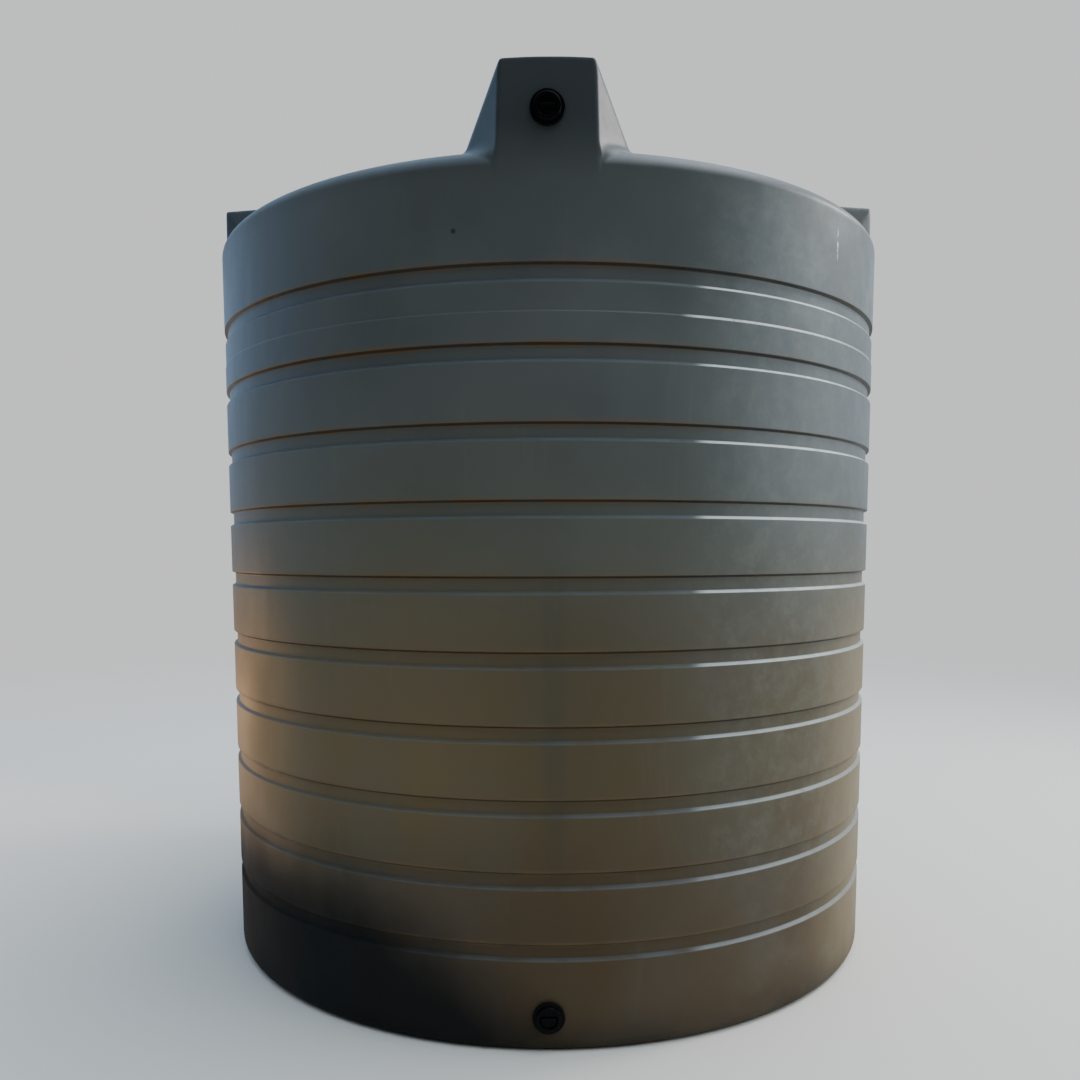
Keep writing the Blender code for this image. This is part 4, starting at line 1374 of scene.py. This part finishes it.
def crown_and_skirt(body, start):
    """From the turret's foot out to the edge and down the skirt. Returns the skirt's lowest ring."""
    crown = np.array([(0.0406, LID_CROWN + 0.0004), (0.0425, LID_CROWN - 0.0001), (0.11, LID_CROWN - 0.0058),
                      (0.19, LID_CROWN - 0.0126)])
    cone = body.add(turned_grid(crown[:, :1], crown[:, 1:], OUTER_COLUMNS))
    body.join(start, cone[0])
    body.grid(cone)
    land_rows = np.concatenate([
        [(0.2040, LID_PLATE + 0.0003), (0.2080, LID_PLATE), (0.2280, LID_PLATE)],
        arc(0.2295, LID_PLATE - 0.007, 0.007, 90.0, 8.0, 6)])
    skirt_z = runs(LID_PLATE - 0.0085, (LID_PLATE - 0.0145, 5), (SKIRT_FOOT + 0.0025, 4),
                   (SKIRT_FOOT + 0.0006, 2))
    skirt_r = 0.2365 + 0.0020 * (LID_PLATE - skirt_z) / (LID_PLATE - SKIRT_FOOT)
    proud = smoothstep((LID_PLATE - 0.0085 - skirt_z) / 0.005) * smoothstep((skirt_z - SKIRT_FOOT) / 0.0025)
    half_pitch = 180.0 / GRIPS
    away = np.abs((np.degrees(LID_COLUMNS) + half_pitch) % (2 * half_pitch) - half_pitch)
    grip = smoothstep((2.3 - away) / 0.85)
    skirt_rows = column(skirt_r) + GRIP_PROUD * column(proud) * grip
    land = body.add(turned_grid(land_rows[:, :1], land_rows[:, 1:], LID_COLUMNS))
    skirt = body.add(turned_grid(skirt_rows, column(skirt_z), LID_COLUMNS))
    body.stitch(cone[-1], OUTER_COLUMNS, land[0], LID_COLUMNS)
    body.grid(land)
    body.join(land[-1], skirt[0])
    body.grid(skirt)
    return skirt[-1]


# %% [markdown]
# ### The lid's inside
#
# Inside, the skirt carries the neck's coarse thread. Above it are the flat that presses the seal and
# the cone's underside, which runs in to the turret's inner wall.

# %% Inside of the lid, and the whole lid


def underside(body, start, end):
    """From the skirt's foot past the thread, the flat and the cone's underside to the turret."""
    thread_z = np.linspace(SKIRT_FOOT + 0.0015, LID_UNDER - 0.004, 28)
    fade = smoothstep((thread_z - SKIRT_FOOT - 0.004) / 0.004)
    fade = fade * smoothstep((LID_UNDER - 0.010 - thread_z) / 0.004)
    wave = thread_wave(column(thread_z) - NECK_FOOT - NECK_ROUND - 0.010, LID_COLUMNS, NECK_PITCH, NECK_CREST)
    inner_r = LID_BORE - NECK_THREAD * smoothstep(wave * 1.6 - 0.6) * column(fade)
    foot = body.add(turned_grid(column([0.2375, 0.2300]), SKIRT_FOOT, LID_COLUMNS))
    thread = body.add(turned_grid(inner_r, column(thread_z), LID_COLUMNS))
    under = np.array([(LID_BORE, LID_UNDER - 0.0015), (0.2270, LID_UNDER), (0.2080, LID_UNDER)])
    flat = body.add(turned_grid(under[:, :1], under[:, 1:], LID_COLUMNS))
    body.join(start, foot[0])
    body.grid(foot)
    body.join(foot[1], thread[0])
    body.grid(thread)
    body.join(thread[-1], flat[0])
    body.grid(flat)
    cone = np.array([(0.19, LID_CROWN - 0.0186), (0.11, LID_CROWN - 0.0118), (0.0380, LID_CROWN - 0.0063),
                     (0.0352, LID_CROWN - 0.0050)])
    numbers = body.add(turned_grid(cone[:, :1], cone[:, 1:], INNER_COLUMNS))
    body.stitch(flat[-1], LID_COLUMNS, numbers[0], INNER_COLUMNS)
    body.grid(numbers)
    body.join(numbers[-1], end)


lid = Body()
outer_foot, inner_foot = turret(lid)
skirt_end = crown_and_skirt(lid, outer_foot)
underside(lid, skirt_end, inner_foot)
finish_piece(lid, "manhole_lid_fine", BLACK, "manhole_lid", "lid")

# %% [markdown]
# ## The lid's seal
#
# A flat rubber ring lies on the neck's rim under the lid. Its section is a rectangle with four rounded
# corners, so a list of the corners gives the whole profile.

# %% Lid seal
SEAL_ROUND = 0.00125


def seal_body():
    """A flat ring with rounded edges."""
    body = Body()
    low, high = NECK_TOP + 0.0003, NECK_TOP + 0.0043
    corners = ((0.2255, high - SEAL_ROUND, 90.0), (0.2255, low + SEAL_ROUND, 0.0),
               (0.2160, low + SEAL_ROUND, -90.0), (0.2160, high - SEAL_ROUND, 180.0))
    profile = np.concatenate([arc(r, z, SEAL_ROUND, start, start - 90.0, 3) for r, z, start in corners])
    numbers = body.add(turned_grid(profile[:, :1], profile[:, 1:], ring_angles(144)))
    body.grid(numbers)
    body.join(numbers[-1], numbers[0])
    return body


finish_piece(seal_body(), "lid_seal_fine", RUBBER, "lid_seal", "lid_seal")

# %% [markdown]
# ## The floor
#
# The tank stands on a plain pale floor, a large disc that fades out with the distance. Where it is
# clear the backdrop shows through, so there is no horizon line behind the tank.

# %% Floor
FLOOR_COLOUR = (0.72, 0.67, 0.60)
FLOOR_RADIUS = 30.0
FLOOR_FADES = (3.0, 11.0)


def floor_finish():
    """A pale matt floor that fades out with the distance, so that it meets the backdrop without a line."""
    f = Finish("pale_floor", FLOOR_COLOUR, 0.8, specular=0.2)
    away = f.node("ShaderNodeVectorMath", [("operation", "LENGTH")], _0=f.place).outputs["Value"]
    clear = f.node("ShaderNodeBsdfTransparent").outputs[0]
    share = f.ramp(away, *FLOOR_FADES)
    fade = f.node("ShaderNodeMixShader", _0=share, _1=f.shader.outputs[0], _2=clear)
    f.links.new(fade.outputs[0], f.nodes["Material Output"].inputs["Surface"])
    return f.material


ground = Body()
ring = ground.add(turned_grid(FLOOR_RADIUS, 0.0, ring_angles(64)))
ground.cap(ring, (0.0, 0.0, 0.0))
floor_mesh = bpy.data.meshes.new("floor")
floor_mesh.from_pydata(np.concatenate(ground.points).tolist(), [], ground.faces[0].tolist())
floor_mesh.materials.append(floor_finish())
floor = bpy.data.objects.new("floor", floor_mesh)
bpy.context.scene.collection.objects.link(floor)
print("the floor fades out from", FLOOR_FADES[0], "to", FLOOR_FADES[1], "m")

# %% [markdown]
# ## The sky
#
# The photo is lit by an open sky with the sun behind the tank at the right, so its front is in shade
# and its right flank and upper edges shine. A sky that is bright above and behind and dim in front
# gives most of the light. The camera sees a plain pale backdrop in its place. A photographed sky would
# do the same work, but it couldn't be built from a few numbers.

# %% Sky
BACKDROP = (0.80, 0.81, 0.82)
SKY_IN_FRONT = (0.11, 0.115, 0.115)
SKY_BEHIND_LEFT, SKY_BEHIND_RIGHT = (0.56, 0.84, 1.24), (0.88, 1.08, 1.32)
SKY_OVER_LEFT, SKY_OVER_RIGHT = (0.70, 1.00, 1.30), (3.60, 3.90, 4.20)
UNDER_HORIZON = (0.40, 0.38, 0.35)


def sky_world():
    """A pale backdrop for the camera, and for the light a sky dim in front and bright above and behind."""
    world = bpy.data.worlds.new("pale_room")
    world.use_nodes = True
    nodes, links = world.node_tree.nodes, world.node_tree.links
    place = nodes.new("ShaderNodeTexCoord").outputs["Generated"]
    split = nodes.new("ShaderNodeSeparateXYZ")
    links.new(place, split.inputs[0])

    def ramped(value, low, high, start, stop):
        """Carry a value from the range low to high into start to stop, smoothly and clamped."""
        step = nodes.new("ShaderNodeMapRange")
        step.interpolation_type = "SMOOTHSTEP"
        links.new(value, step.inputs["Value"])
        for name, number in (("From Min", low), ("From Max", high), ("To Min", start), ("To Max", stop)):
            step.inputs[name].default_value = number
        return step.outputs[0]

    def mixed(share, first, second):
        """A colour between the first and the second."""
        step = nodes.new("ShaderNodeMix")
        step.data_type = "RGBA"
        for socket, value in ((step.inputs[0], share), (step.inputs[6], first), (step.inputs[7], second)):
            if isinstance(value, bpy.types.NodeSocket):
                links.new(value, socket)
            else:
                socket.default_value = (*value, 1.0)
        return step.outputs[2]

    back = ramped(split.outputs["Y"], -0.55, 0.45, 0.0, 1.0)
    high = ramped(split.outputs["Z"], 0.45, 0.98, 0.0, 1.0)
    low = ramped(split.outputs["Z"], 0.02, -0.06, 0.0, 1.0)
    right = ramped(split.outputs["X"], -0.6, 0.5, 0.0, 1.0)
    overhead = ramped(split.outputs["X"], -0.05, 0.32, 0.0, 1.0)
    behind = mixed(right, SKY_BEHIND_LEFT, SKY_BEHIND_RIGHT)
    level = mixed(back, SKY_IN_FRONT, behind)
    sky = mixed(high, level, mixed(overhead, SKY_OVER_LEFT, SKY_OVER_RIGHT))
    sky = mixed(low, sky, UNDER_HORIZON)
    shown = mixed(nodes.new("ShaderNodeLightPath").outputs["Is Camera Ray"], sky, BACKDROP)
    links.new(shown, nodes["Background"].inputs["Color"])
    nodes["Background"].inputs["Strength"].default_value = 1.0
    return world


bpy.context.scene.world = sky_world()
print("the sky behind is", round(SKY_BEHIND_RIGHT[1] / SKY_IN_FRONT[1], 1), "times as bright as in front")

# %% [markdown]
# ## Soft panels
#
# Three soft panels at the right stand for the open side, and a small warm one low at the left stands
# for the sunlit ground, which colours the tank's left edge there.

# %% Soft panels


def soft_panel(name, place, size, power, colour, target, spread=180.0):
    """A square area light that faces a point, with its beam held to a spread in degrees."""
    lamp = bpy.data.lights.new(name, "AREA")
    lamp.shape = "SQUARE"
    lamp.size = size
    lamp.energy = power
    lamp.color = colour
    lamp.spread = math.radians(spread)
    item = bpy.data.objects.new(name, lamp)
    bpy.context.scene.collection.objects.link(item)
    item.location = place
    item.rotation_euler = (Vector(place) - Vector(target)).to_track_quat("Z", "Y").to_euler()
    item.visible_camera = False


soft_panel("open_side", (6.8, 0.6, 2.1), 3.6, 70.0, (0.90, 0.96, 1.0), (0.0, 0.0, 1.4))
soft_panel("cool_front", (6.2, -2.0, 2.8), 3.0, 105.0, (0.72, 0.88, 1.0), (0.2, -0.6, 2.2))
soft_panel("sun_side", (6.0, 1.6, 5.5), 1.6, 210.0, (1.0, 0.97, 0.90), (0.0, 0.0, 2.0))
soft_panel("warm_ground", (-4.6, 2.2, 0.45), 0.8, 4.5, (1.0, 0.52, 0.20), (-1.1, 0.0, 0.40), 60.0)

# %% [markdown]
